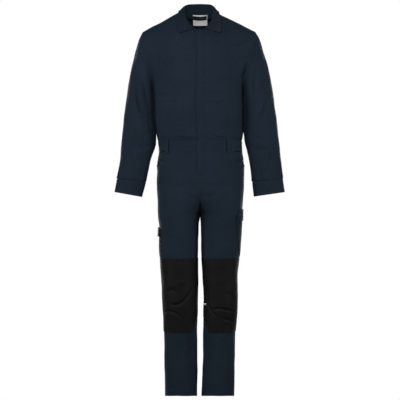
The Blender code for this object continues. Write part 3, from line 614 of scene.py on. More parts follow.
@dataclass
class Panel:
    """A cloth piece as a grid of points on its outer face, with the place of each row and column.

    Attributes:
        name: The node that it stands for.
        area: Whose creases it has.
        points: The grid, by row, column and axis.
        rows: The key of each row, such as its height.
        columns: The key of each column.
        inside: A point that the middle of the grid faces away from.
        closed: Whether the last column meets the first.
    """

    name: str
    area: Area
    points: Array
    rows: Array
    columns: Array
    inside: Place
    closed: bool = False
    normals: Array = field(init=False)

    def __post_init__(self) -> None:
        """Works out the normals, facing out."""
        self.normals = self.own_normals()

    def own_normals(self) -> Array:
        """Normals of the grid, pointing away from the inside.

        Returns:
            The normals, of length 1.
        """
        points = self.points
        if self.closed:
            across = np.roll(points, -1, axis=1) - np.roll(points, 1, axis=1)
        else:
            across = np.gradient(points, axis=1)
        normals = np.cross(across, np.gradient(points, axis=0))
        normals /= np.maximum(np.linalg.norm(normals, axis=-1, keepdims=True), TINY)
        j, i = self.middle
        return normals if np.dot(normals[j, i], points[j, i] - self.inside) > 0 else -normals

    @property
    def middle(self) -> tuple[int, int]:
        """The row and column in the middle of the grid."""
        return self.points.shape[0] // 2, self.points.shape[1] // 2

    def border(self) -> list[tuple[int, int]]:
        """Grid places on the edge of an open panel.

        Returns:
            Rows and columns.
        """
        height, width = self.points.shape[:2]
        places = [(j, i) for j in (0, height - 1) for i in range(width)]
        return places + [(j, i) for i in (0, width - 1) for j in range(1, height - 1)]

    def move(self, amount: Array) -> None:
        """Moves each point along its normal."""
        self.points = self.points + self.normals * amount[..., None]

    def sample(self, rows: Array, columns: Array, lift: float | Array = 0.0) -> Array:
        """Points between the grid's points, moved out along the normal there.

        Args:
            rows: Row keys.
            columns: Column keys.
            lift: How far out.

        Returns:
            The points, in the shape of the keys.
        """
        order = 1 if self.rows[-1] > self.rows[0] else -1
        row = np.interp(rows * order, self.rows * order, np.arange(len(self.rows)))
        column = np.interp(columns, self.columns, np.arange(len(self.columns)))
        row, column = np.broadcast_arrays(row, column)
        j = np.minimum(row.astype(int), len(self.rows) - 2)
        i = np.minimum(column.astype(int), len(self.columns) - 2)
        down, right = (row - j)[..., None], (column - i)[..., None]

        def between(layer: Array) -> Array:
            """One layer of the grid, read between its points.

            Args:
                layer: Points or normals of the grid.

            Returns:
                What it says there.
            """
            top = layer[j, i] * (1 - right) + layer[j, i + 1] * right
            low = layer[j + 1, i] * (1 - right) + layer[j + 1, i + 1] * right
            return top * (1 - down) + low * down

        normal = between(self.normals)
        normal = normal / np.linalg.norm(normal, axis=-1, keepdims=True)
        return between(self.points) + normal * np.asarray(lift)[..., None]

    def column_at(self, row: float, across: float) -> float:
        """The column key at which the start of a row passes a distance from the centre.

        Args:
            row: The row's key.
            across: The distance.

        Returns:
            The column's key.
        """
        near = self.columns[: len(self.columns) // 2]
        reached = np.maximum.accumulate(np.abs(self.sample(np.full(len(near), row), near)[:, 0]))
        return float(np.interp(abs(across), reached, near))


def sew(panels: Sequence[Panel]) -> None:
    """Gives panels one shared normal wherever the points of their edges meet.

    Args:
        panels: The panels.
    """
    shared: dict[tuple[float, ...], Array] = {}
    places = [(panel, j, i) for panel in panels for j, i in panel.border()]
    keys = [tuple(np.round(panel.points[j, i], SAME_DIGITS) + 0.0) for panel, j, i in places]
    for key, (panel, j, i) in zip(keys, places):
        shared[key] = shared.get(key, np.zeros(3)) + panel.normals[j, i]
    for key, (panel, j, i) in zip(keys, places):
        length = np.linalg.norm(shared[key])
        if length > SHORT:
            panel.normals[j, i] = shared[key] / length


@dataclass
class Drape:
    """The folds and ripples that wearing gives the cloth."""

    creases: tuple[Crease, ...] = CREASES
    waves: tuple[Wave, ...] = WAVES
    seam_depth: float = 0.0009
    strength: float = 1.7
    narrowing: float = 0.75
    reach: float = 5.0
    taper: float = 0.7
    ends: Point = (0.02, 0.98)
    lip_off: float = 1.9
    lip_width: float = 1.3
    turning: Point = (-0.15, 0.25)
    path_steps: int = 6

    def crease(self, crease: Crease, points: Array) -> Array:
        """How far one crease moves each point out.

        Args:
            crease: The crease.
            points: The points, by row, column and axis.

        Returns:
            The distances, in the shape of the grid.
        """
        path = self.rounded_path(crease.path)
        x, z = points[..., 0], points[..., 2]
        width = crease.width * self.narrowing
        reach = self.reach * width
        near = (
            (x > path[:, 0].min() - reach) & (x < path[:, 0].max() + reach)
            & (z > path[:, 1].min() - reach) & (z < path[:, 1].max() + reach)
        )
        found = np.zeros(x.shape)
        if not near.any():
            return found
        place = np.stack([x[near], z[near]], axis=-1)[:, None, :]
        step, t, off = from_path(place, path)
        distance = np.linalg.norm(off, axis=-1)
        best = distance.argmin(axis=1)
        pick = np.arange(len(best))
        side = np.sign(step[best, 0] * off[pick, best, 1] - step[best, 1] * off[pick, best, 0])
        signed = distance[pick, best] * np.where(side == 0, 1, side)
        run = (best + t[pick, best]) / len(step)
        taper = np.clip(np.sin(np.pi * np.clip(run, *self.ends)), 0, 1) ** self.taper
        trough = -np.exp(-((signed / width) ** 2))
        way = math.copysign(1, crease.lip)
        beside = (signed * way - self.lip_off * width) / (self.lip_width * width)
        lip = abs(crease.lip) * np.exp(-(beside**2))
        found[near] = self.strength * crease.depth * taper * (trough + lip)
        return found

    def rounded_path(self, path: Array) -> Array:
        """A smooth line through the crease's points.

        Args:
            path: The points.

        Returns:
            More points, close together.
        """
        ends = np.concatenate([2 * path[:1] - path[1:2], path, 2 * path[-1:] - path[-2:-1]])
        t = np.linspace(0, 1, self.path_steps, endpoint=False)[:, None]
        runs = []
        for a, b, c, d in zip(ends, ends[1:], ends[2:], ends[3:]):
            bend, twist = 2 * a - 5 * b + 4 * c - d, 3 * b - a - 3 * c + d
            runs.append(0.5 * (2 * b + (c - a) * t + bend * t**2 + twist * t**3))
        return np.concatenate([*runs, path[-1:]])

    def amount(self, panel: Panel) -> Array:
        """How far out each point of a panel lies because of its creases and ripples.

        Args:
            panel: The panel, before its creases.

        Returns:
            The distances, by row and column.
        """
        points, facing = panel.points, panel.normals[..., 1]
        found = np.zeros(points.shape[:2])
        for crease in self.creases:
            if crease.area is panel.area:
                turned = smooth(*self.turning, facing * crease.face.value)
                found += self.crease(crease, points) * turned
        for wave in self.waves:
            lengths = np.array([wave.across, wave.deep, wave.tall])
            found += wave.height * np.sin((points / lengths).sum(-1) * 2 * np.pi + wave.start)
        return found


DRAPE = Drape()


def side_of(name: str) -> Side:
    """The side that a piece's name gives."""
    return Side.RIGHT if "right" in name else Side.LEFT


class Borders(NamedTuple):
    """Which edges of a piece are topstitched."""

    first: bool = False
    last: bool = False
    top: bool = False
    bottom: bool = False


ALL_BUT_TOP = Borders(first=True, last=True, bottom=True)


@dataclass(frozen=True)
class Cut:
    """The size that a piece was cut to, and its area."""

    width: float
    length: float
    area: float


FAR = 1.0


@dataclass
class Sewing:
    """Turns panels into finished thin shells of cloth."""

    body: str = "root"
    sharp: float = math.radians(50)
    count: int = 0
    materials: dict[str, bpy.types.Material] = field(init=False)

    def __post_init__(self) -> None:
        """Makes each slot's material, once."""
        self.materials = {slot: finish.material() for slot, finish in FINISHES.items()}

    def piece(self, panel: Panel, thickness: float, *settings: "Borders | str | Array") -> None:
        """Builds a panel's mesh."""
        self.declare(self.shell(panel, thickness, *settings))

    def shell(
        self,
        panel: Panel,
        thickness: float,
        stitched: Borders = Borders(),
        slot: str = "navy_cloth",
        scoop: Array | None = None,
    ) -> bpy.types.Object:
        """Builds a panel's mesh, with its cloth map and its distances from stitched edges.

        Args:
            panel: The panel, already creased.
            thickness: How thick the cloth is.
            stitched: Which edges are topstitched.
            slot: The record's slot of its material.
            scoop: Distances from one more stitched line, which take the place of the top edge's.

        Returns:
            The new object, standing for the node of the panel's name.
        """
        points = panel.points
        height, width = points.shape[:2]
        grid = np.arange(height * width).reshape(height, width)
        full = np.concatenate([points, points[:, :1]], axis=1) if panel.closed else points
        index = np.concatenate([grid, grid[:, :1]], axis=1) if panel.closed else grid
        u, v = along(full, 1), along(full, 0)
        u = u - u[:, u.shape[1] // 2][:, None]
        spans = [u - u[:, :1], u[:, -1:] - u, v, v[-1:] - v]
        if scoop is not None:
            spans[2] = scoop
            stitched = stitched._replace(top=True)
        spans = [span if flag else np.full_like(u, FAR) for span, flag in zip(spans, stitched)]
        edges = np.stack(spans, axis=-1)
        j, i = (part.ravel() for part in np.mgrid[0 : height - 1, 0 : index.shape[1] - 1])
        corners = np.stack([[j, j + 1, j + 1, j], [i, i, i + 1, i + 1]])
        if self.faces_inwards(panel):
            corners = corners[:, ::-1]
        rows, columns = corners[0].T.ravel(), corners[1].T.ravel()
        mesh = bpy.data.meshes.new(panel.name + "_cloth")
        mesh.from_pydata(points.reshape(-1, 3).tolist(), [], index[rows, columns].reshape(-1, 4).tolist())
        layer = mesh.uv_layers.new(name="cloth")
        layer.data.foreach_set("uv", np.stack([u, v], axis=-1)[rows, columns].ravel())
        colours = mesh.color_attributes.new(name="edges", type="FLOAT_COLOR", domain="CORNER")
        colours.data.foreach_set("color", edges[rows, columns].ravel())
        mesh.materials.append(self.materials[slot])
        made = placed(mesh.name, mesh)
        mesh.polygons.foreach_set("use_smooth", np.ones(len(mesh.polygons), bool))
        mesh.update()
        self.thicken(made, thickness)
        made.data.set_sharp_from_angle(angle=self.sharp)
        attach(made, self.body)
        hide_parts(panel.name)
        self.count += 1
        return made

    def faces_inwards(self, panel: Panel) -> bool:
        """Whether quads wound down and across would face the inside.

        Args:
            panel: The panel.

        Returns:
            Whether the quads have to be turned over.
        """
        points = panel.points
        j, i = panel.middle
        down, across = points[j + 1, i] - points[j, i], points[j, i + 1] - points[j, i]
        return bool(np.dot(np.cross(down, across), panel.normals[j, i]) < 0)

    def thicken(self, item: bpy.types.Object, thickness: float) -> None:
        """Gives a sheet its wall, inwards from its outer face.

        Args:
            item: The sheet.
            thickness: How thick the wall is.
        """
        wall = item.modifiers.new("wall", "SOLIDIFY")
        wall.thickness = thickness
        wall.offset = -1
        wall.use_rim = True
        self.finish(item, wall)

    def finish(self, item: bpy.types.Object, modifier: bpy.types.Modifier) -> None:
        """Applies a modifier to a piece."""
        choose(item)
        bpy.ops.object.modifier_apply(modifier=modifier.name)

    def trim(self, item: bpy.types.Object, outline: Sequence[Point], low: float, high: float) -> None:
        """Cuts a shape through a piece from front to back.

        Args:
            item: The piece.
            outline: Corners of the shape, in X and Z.
            low: Where the cut starts along Y.
            high: Where it ends.
        """
        count = len(outline)
        points = [(x, y, z) for y in (low, high) for x, z in outline]
        faces = [tuple(range(count)), tuple(range(2 * count - 1, count - 1, -1))]
        faces += [(i, (i + 1) % count, count + (i + 1) % count, count + i) for i in range(count)]
        mesh = bpy.data.meshes.new("trim")
        mesh.from_pydata(points, [], faces)
        cutter = placed("trim", mesh)
        choose(cutter)
        bpy.ops.object.mode_set(mode="EDIT")
        bpy.ops.mesh.select_all(action="SELECT")
        bpy.ops.mesh.normals_make_consistent(inside=False)
        bpy.ops.object.mode_set(mode="OBJECT")
        cut = item.modifiers.new("cut", "BOOLEAN")
        cut.operation = "DIFFERENCE"
        cut.solver = "EXACT"
        cut.object = cutter
        self.finish(item, cut)
        bpy.data.objects.remove(cutter, do_unlink=True)
        item.data.set_sharp_from_angle(angle=self.sharp)

    def declare(self, item: bpy.types.Object, *extra: bpy.types.Object) -> None:
        """Takes a piece and does nothing with it.

        Args:
            item: The piece; not used.
            extra: Objects without a cut of their own that hang on it; not used.
        """


class Wire:
    """A number in a material, which Python expressions combine into Math nodes."""

    def __init__(self, graph: "Graph", socket: bpy.types.NodeSocket) -> None:
        """Wraps a socket of a graph."""
        self.graph = graph
        self.socket = socket

    def maths(self, operation: str, *values: "Wire | float") -> "Wire":
        """The result of a Math node on this number and others."""
        settings, inputs = {"operation": operation}, dict(enumerate((self, *values)))
        return Wire(self.graph, self.graph.node("ShaderNodeMath", settings, inputs).outputs[0])

    def __add__(self, other: "Wire | float") -> "Wire":
        """Sum."""
        return self.maths("ADD", other)

    def __mul__(self, other: "Wire | float") -> "Wire":
        """Product."""
        return self.maths("MULTIPLY", other)

    def __sub__(self, other: "Wire | float") -> "Wire":
        """Difference."""
        return self.maths("SUBTRACT", other)

    def __rsub__(self, other: float) -> "Wire":
        """Difference from a plain number."""
        return self * -1.0 + other

    def __truediv__(self, other: float) -> "Wire":
        """Quotient by a plain number."""
        return self.maths("DIVIDE", other)

    def clamped(self) -> "Wire":
        """The number kept between 0 and 1."""
        return self.maths("MAXIMUM", 0.0).maths("MINIMUM", 1.0)

    def wave(self, length: float) -> "Wire":
        """A wave from -1 to 1, once in each length."""
        return (self * (2 * math.pi / length)).maths("SINE")

    def band(self, centre: float, half: float) -> "Wire":
        """A peak of 1 at a value, falling to 0 on both sides."""
        return (1.0 - (self - centre).maths("ABSOLUTE") / half).clamped()


class Graph:
    """The nodes of a new material or world."""

    def __init__(self, holder: bpy.types.Material | bpy.types.World) -> None:
        """Empties the nodes of their holder.

        Args:
            holder: The material or world.
        """
        self.holder = holder
        holder.use_nodes = True
        self.tree = holder.node_tree
        self.tree.nodes.clear()

    def node(self, kind: str, settings: dict[str, object], inputs: dict[str | int, object]) -> bpy.types.Node:
        """Adds one node.

        Args:
            kind: The node's type.
            settings: Its settings, which are set first.
            inputs: Values or links for its sockets, by name or place.

        Returns:
            The node.
        """
        made = self.tree.nodes.new(kind)
        for key, value in settings.items():
            setattr(made, key, value)
        for key, value in inputs.items():
            source = value.socket if isinstance(value, Wire) else value
            if isinstance(source, bpy.types.NodeSocket):
                self.tree.links.new(source, made.inputs[key])
            else:
                made.inputs[key].default_value = source
        return made

    def noise(self, scale: float, detail: float, place: bpy.types.NodeSocket) -> Wire:
        """Smooth noise from 0 to 1 over the given place."""
        made = self.node("ShaderNodeTexNoise", {}, {"Vector": place, "Scale": scale, "Detail": detail})
        return Wire(self, made.outputs["Fac"])

    def blend(self, share: Wire, low: object, high: object) -> bpy.types.NodeSocket:
        """A colour between two others."""
        made = self.node("ShaderNodeMix", {"data_type": "RGBA"}, {0: share, 6: low, 7: high})
        return made.outputs[2]


# Scales and details of the worn patches and of the fuzz
PATCHES = (9.0, 3.0)
FUZZ = (900.0, 2.0)
FUZZ_HEIGHT = 0.00004
TWILL_SLOPE = 0.55
# The cloth looks worn where the patches, the ribs and the fuzz add up to enough
WORN_FROM = 0.35
WORN_PATCHES = 1.1
WORN_RIBS = 0.18
WORN_FUZZ = 0.22
WORN_LESS = 0.10
MATT_PATCHES = 0.12
SHEEN_ROUGHNESS = 0.45
SHEEN_TINT = (0.55, 0.68, 0.82, 1)
# Two rows of topstitching: how far in they lie, their stitches' length, and the cloth beside them
STITCH_GAPS = (0.0020, 0.0080)
STITCH = 0.0034
THREAD_HALF = 0.0005
THREAD_STEEP = 3.0
THREAD_LENGTH = 1.6
THREAD_HEIGHT = 0.0002
THREAD_SHARE = 0.85
GROOVE_HALF = 0.0016
GROOVE_DEPTH = 0.0004
PUCKER_HEIGHT = 0.0005
PUCKER_REACH = 0.014
PUCKER_SHARE = 0.4
PUCKERS = (0.019, 0.017, 0.031, 0.027)


@dataclass(frozen=True)
class ClothFinish:
    """A woven cloth with its sewing thread.

    Attributes:
        name: The material's name.
        base: Its colour.
        worn: Its colour where it has rubbed.
        thread: The sewing thread's colour.
        weave: How it is woven.
        pitch: The distance between ribs.
        relief: How high the ribs stand.
        roughness: How matt it is.
        sheen: How much its nap catches the light.
        gloss: How much its yarns reflect.
    """

    name: str
    base: Colour
    worn: Colour
    thread: Colour
    weave: Weave
    pitch: float
    relief: float
    roughness: float
    sheen: float
    gloss: float

    def material(self) -> bpy.types.Material:
        """Builds the material.

        Returns:
            The material.
        """
        graph = Graph(bpy.data.materials.new(self.name))
        cloth = graph.node("ShaderNodeUVMap", {"uv_map": "cloth"}, {})
        place = graph.node("ShaderNodeTexCoord", {}, {}).outputs["Object"]
        parts = graph.node("ShaderNodeSeparateXYZ", {}, {0: cloth.outputs[0]})
        u, v = Wire(graph, parts.outputs[0]), Wire(graph, parts.outputs[1])
        patchy, fuzz = graph.noise(*PATCHES, place), graph.noise(*FUZZ, place)
        ribs = self.ribs(u, v)
        thread, groove, pucker = self.sewing(graph, u, v)
        worn = (patchy - WORN_FROM) * WORN_PATCHES + ribs * WORN_RIBS + fuzz * WORN_FUZZ
        worn = (worn - WORN_LESS).clamped()
        colour = graph.blend(worn, self.base, self.worn)
        colour = graph.blend(thread * THREAD_SHARE, colour, self.thread)
        height = ribs * self.relief + fuzz * FUZZ_HEIGHT + pucker * PUCKER_HEIGHT
        height = height + thread * THREAD_HEIGHT - groove * GROOVE_DEPTH
        bump = graph.node("ShaderNodeBump", {}, {"Strength": 1.0, "Distance": 1.0, "Height": height})
        settings = {
            "Base Color": colour,
            "Roughness": (patchy * MATT_PATCHES + (self.roughness - MATT_PATCHES / 2)).clamped(),
            "Normal": bump.outputs[0],
            "Specular IOR Level": self.gloss,
            "Sheen Weight": self.sheen,
            "Sheen Roughness": SHEEN_ROUGHNESS,
            "Sheen Tint": SHEEN_TINT,
        }
        shader = graph.node("ShaderNodeBsdfPrincipled", {}, settings)
        graph.node("ShaderNodeOutputMaterial", {}, {"Surface": shader.outputs[0]})
        return graph.holder

    def ribs(self, u: Wire, v: Wire) -> Wire:
        """The height of the weave, from 0 to 1.

        Args:
            u: Distance across the cloth.
            v: Distance down the cloth.

        Returns:
            The height.
        """
        if self.weave is Weave.TWILL:
            return (u * TWILL_SLOPE + v).wave(self.pitch) * 0.5 + 0.5
        return u.wave(self.pitch) * v.wave(self.pitch) * 0.5 + 0.5

    def sewing(self, graph: Graph, u: Wire, v: Wire) -> tuple[Wire, Wire, Wire]:
        """Topstitching beside the edges that have it.

        Args:
            graph: The material's nodes.
            u: Distance across the cloth.
            v: Distance down the cloth.

        Returns:
            Where thread shows, how deep the stitched line sinks, and how the cloth puckers beside it.
        """
        edges = graph.node("ShaderNodeAttribute", {"attribute_name": "edges"}, {})
        parts = graph.node("ShaderNodeSeparateColor", {}, {0: edges.outputs["Color"]})
        first, last, top = (Wire(graph, parts.outputs[index]) for index in range(3))
        side, level = first.maths("MINIMUM", last), top.maths("MINIMUM", Wire(graph, edges.outputs["Alpha"]))
        lines, grooves = [], []
        for gap, way in ((side, v), (level, u)):
            line, groove = (
                gap.band(STITCH_GAPS[0], half).maths("MAXIMUM", gap.band(STITCH_GAPS[1], half))
                for half in (THREAD_HALF, GROOVE_HALF)
            )
            lines.append(line * (way.wave(STITCH) * THREAD_STEEP + THREAD_LENGTH).clamped())
            grooves.append(groove)
        near = (1.0 - side.maths("MINIMUM", level) / PUCKER_REACH).clamped()
        first, second, third, fourth = PUCKERS
        ripple = u.wave(first) * v.wave(second) + u.wave(third) + v.wave(fourth)
        thread, groove = (first.maths("MAXIMUM", last) for first, last in (lines, grooves))
        return thread, groove, near * ripple * PUCKER_SHARE


FINISHES = {
    "navy_cloth": ClothFinish(
        "navy work twill", (0.0100, 0.0175, 0.0280, 1), (0.0160, 0.0262, 0.0400, 1),
        (0.022, 0.035, 0.052, 1), Weave.TWILL, 0.0011, 0.00005, 0.82, 0.04, 0.08,
    ),
    "knee_fabric": ClothFinish(
        "black knee fabric", (0.0063, 0.0061, 0.0060, 1), (0.0100, 0.0098, 0.0097, 1),
        (0.016, 0.016, 0.016, 1), Weave.PLAIN, 0.0013, 0.00006, 0.62, 0.02, 0.10,
    ),
    "label_white": ClothFinish(
        "white label tape", (0.90, 0.92, 0.94, 1), (0.92, 0.94, 0.96, 1),
        (0.66, 0.69, 0.72, 1), Weave.PLAIN, 0.0006, 0.00002, 0.60, 0.05, 0.25,
    ),
    "tag_dark": ClothFinish(
        "dark woven tape", (0.0095, 0.0100, 0.0115, 1), (0.0140, 0.0150, 0.0170, 1),
        (0.03, 0.03, 0.03, 1), Weave.PLAIN, 0.0006, 0.00002, 0.55, 0.05, 0.20,
    ),
}


def half_rows(rows: Callable[[Side], Array]) -> Array:
    """A grid from the right side to the left, from a maker of one side's columns, centre first."""
    return np.concatenate([rows(Side.RIGHT)[:, :0:-1], rows(Side.LEFT)], axis=1)


STITCHED = {
    "waistband": Borders(top=True, bottom=True),
    "trouser": Borders(last=True, bottom=True),
    "bodice_back": Borders(first=True, last=True, top=True),
    "bodice_front": Borders(last=True, top=True),
}


@dataclass
class Body:
    """Bodice, waistband and trousers: the panels that share seams."""

    sewing: Sewing
    columns: int = 64
    chest_rows: int = 72
    side_rows: int = 48
    band_rows: int = 10
    band_top_rows: int = 35
    curve_rows: int = 40
    under_rows: int = 161
    twill: float = 0.0012
    band: float = 0.0018
    band_proud: float = 0.0008
    band_creased: float = 0.25
    band_reach: float = 0.012
    blouse: float = 0.0028
    blouse_height: float = -0.500
    blouse_half: float = 0.010
    blouse_shares: Point = (0.65, 0.35)
    blouse_run: Place = (52, 31, 1.1)
    hem_depth: float = 0.022
    hem_proud: float = 0.0005
    hem_ripple: float = 0.0012
    hem_ripple_rise: float = 0.10
    hem_run: Point = (95, 0.6)
    press: float = 0.0012
    press_columns: Point = (6.6, 8.0)
    press_top: Point = (-0.36, -0.39)
    press_end: Point = (-0.505, -0.485)
    scoop_right: float = 0.126
    scoop_left: float = 0.131
    scoop_depth: float = 0.052
    scoop_corner: float = 0.020
    scoop_slope: float = 0.004
    scoop_lift: float = 0.0024
    scoop_reach: float = 0.012
    scoop_drop: float = 0.02
    scoop_outer: Point = (0.122, 0.155)
    cut_past: float = 0.21
    cut_depth: Point = (-0.2, 0.02)
    cut_up: float = 0.01
    fly_end: float = -0.650
    panels: dict[str, Panel] = field(default_factory=dict)

    def bodice_keys(self) -> Array:
        """Row keys from the shoulder to the waist: shares above the armpit, then drops below it."""
        chest = np.linspace(1, 0, self.chest_rows + 1)
        return np.concatenate([chest, np.linspace(0, WAIST_TOP - ARMPIT, self.side_rows + 1)[1:]])

    def bodice_half(self, side: Side, face: Face) -> Array:
        """Rows of half the bodice's front or back.

        Args:
            side: The wearer's side.
            face: Front or back.

        Returns:
            The grid of points.
        """
        columns = np.linspace(0, UNITS, self.columns + 1)
        return np.stack([
            FORM.chest(side, face, key, columns) if key > 0 else FORM.ring(side, face, ARMPIT + key, columns)
            for key in self.bodice_keys()
        ])

    def leg_keys(self) -> Array:
        """Heights of the trousers' rows, closer where the centre seam runs under.

        Returns:
            The heights, downwards.
        """
        rise = CROTCH - FORM.front_rise
        curve = FORM.front_rise + rise * np.sin(np.radians(np.linspace(0, 90, self.curve_rows)))
        above = np.linspace(WAIST_BOTTOM, FORM.front_rise, self.band_top_rows + 1)[:-1]
        below = np.linspace(CROTCH, HEM, self.under_rows + 1)[1:]
        return np.concatenate([above, curve, below])

    def leg_half(self, side: Side, face: Face, keys: Array) -> Array:
        """Rows of one leg panel, or of half the waistband's front or back."""
        columns = np.linspace(0, UNITS, self.columns + 1)
        return np.stack([FORM.leg(side, face, key, columns) for key in keys])

    def shape(self) -> None:
        """Makes every panel on the plain form, sews them, and creases them."""
        half = np.linspace(0, UNITS, self.columns + 1)
        whole = np.linspace(-UNITS, UNITS, 2 * self.columns + 1)
        bodice, legs = self.bodice_keys(), self.leg_keys()
        band = np.linspace(WAIST_TOP, WAIST_BOTTOM, self.band_rows + 1)
        chest, waist = (0.0, 0.0, -0.35), (0.0, 0.0, -0.54)
        for side in Side:
            rows = self.bodice_half(side, Face.FRONT)
            self.add(f"bodice_front_{side.own}", Area.TORSO, rows, bodice, half, chest)
            rows = self.leg_half(side, Face.FRONT, band)
            self.add(f"waistband_front_{side.own}", Area.TORSO, rows, band, half, waist)
            inside = (side.value * LEG_CENTRE, 0, -1.05)
            for face in Face:
                rows = self.leg_half(side, face, legs)
                self.add(f"trouser_{face.own}_{side.own}", Area.LEGS, rows, legs, half, inside)
        back = half_rows(lambda side: self.bodice_half(side, Face.BACK))
        self.add("bodice_back", Area.TORSO, back, bodice, whole, chest)
        rows = half_rows(lambda side: self.leg_half(side, Face.BACK, band))
        self.add("waistband_back", Area.TORSO, rows, band, whole, waist)
        sew(list(self.panels.values()))
        for panel in self.panels.values():
            panel.move(self.amount(panel))
            outer = panel.normals
            panel.normals = panel.own_normals()
            for j, i in panel.border():
                panel.normals[j, i] = outer[j, i]

    def add(self, name: str, *settings: Area | Array | tuple[float, ...]) -> None:
        """Makes one panel."""
        self.panels[name] = Panel(name, *settings)

    def amount(self, panel: Panel) -> Array:
        """How far out each of a panel's points moves.

        Args:
            panel: The panel, before its creases.

        Returns:
            The distances, by row and column.
        """
        x, z = panel.points[..., 0], panel.points[..., 2]
        found = DRAPE.amount(panel)
        if "waistband" in panel.name:
            return found * self.band_creased + self.band_proud
        middle, half = (WAIST_TOP + WAIST_BOTTOM) / 2, (WAIST_TOP - WAIST_BOTTOM) / 2
        off_band = smooth(0, self.band_reach, np.abs(z - middle) - half)
        found *= off_band
        if "bodice" in panel.name:
            high = np.exp(-(((z - self.blouse_height) / self.blouse_half) ** 2))
            even, uneven = self.blouse_shares
            across, deep, start = self.blouse_run
            ripple = even + uneven * np.sin(x * across + start + panel.points[..., 1] * deep)
            found += self.blouse * high * ripple * off_band
            pressed = smooth(*self.press_columns, np.abs(panel.columns))
            pressed = pressed * smooth(*self.press_top, z) * smooth(*self.press_end, z)
            found = found * (1 - pressed) + self.press * pressed
            found[-1] -= DRAPE.seam_depth
        else:
            found += self.hem_proud * (z < HEM + self.hem_depth)
            across, start = self.hem_run
            rise = smooth(HEM + self.hem_ripple_rise, HEM, z)
            found += self.hem_ripple * np.sin(x * across + start) * rise
            if "front" in panel.name:
                low = smooth(0, self.scoop_drop, WAIST_BOTTOM - z) * smooth(*self.scoop_outer, np.abs(x))
                found += self.scoop_lift * np.exp(-((self.scoop_gap(panel) / self.scoop_reach) ** 2)) * low
        found[0] -= DRAPE.seam_depth
        beside = 0 if "bodice" in panel.name else 1
        found[:, -1] -= DRAPE.seam_depth * beside
        if "front" not in panel.name:
            found[:, 0] -= DRAPE.seam_depth * beside
        elif "trouser" in panel.name:
            found[:, 0] -= DRAPE.seam_depth * (z[:, 0] < self.fly_end)
        return found

    def scoop_outline(self, side: Side) -> list[Point]:
        """The hip pocket's edge, as distances from the centre and heights.

        Args:
            side: The wearer's side.

        Returns:
            The outline's corners.
        """
        inner = self.scoop_right if side is Side.RIGHT else self.scoop_left
        low = WAIST_BOTTOM - self.scoop_depth
        angles = [math.radians(angle) for angle in range(0, 91, 10)]
        size = self.scoop_corner
        corner = [(inner + size * (1 - math.cos(turn)), low + size * (1 - math.sin(turn))) for turn in angles]
        return [(inner, WAIST_BOTTOM + self.cut_up), *corner, (self.cut_past, low - self.scoop_slope)]

    def scoop_gap(self, panel: Panel) -> Array:
        """Distances of a panel's points from the hip pocket's edge.

        Args:
            panel: A trouser front.

        Returns:
            The distances, by row and column.
        """
        path = np.array(self.scoop_outline(side_of(panel.name)))
        place = np.stack([np.abs(panel.points[..., 0]), panel.points[..., 2]], axis=-1)[..., None, :]
        return np.linalg.norm(from_path(place, path)[2], axis=-1).min(axis=-1)

    def build(self) -> None:
        """Makes the meshes of the panels."""
        for name, panel in self.panels.items():
            front = "trouser_front" in name
            stitched = next(borders for kind, borders in STITCHED.items() if kind in name)
            thickness = self.band if "waistband" in name else self.twill
            scoop = self.scoop_gap(panel) if front else None
            made = self.sewing.shell(panel, thickness, stitched, scoop=scoop)
            if front:
                side = side_of(name)
                outline = [*self.scoop_outline(side), (self.cut_past, WAIST_BOTTOM + self.cut_up)]
                self.sewing.trim(made, [(side.value * x, z) for x, z in outline], *self.cut_depth)
            self.sewing.declare(made)


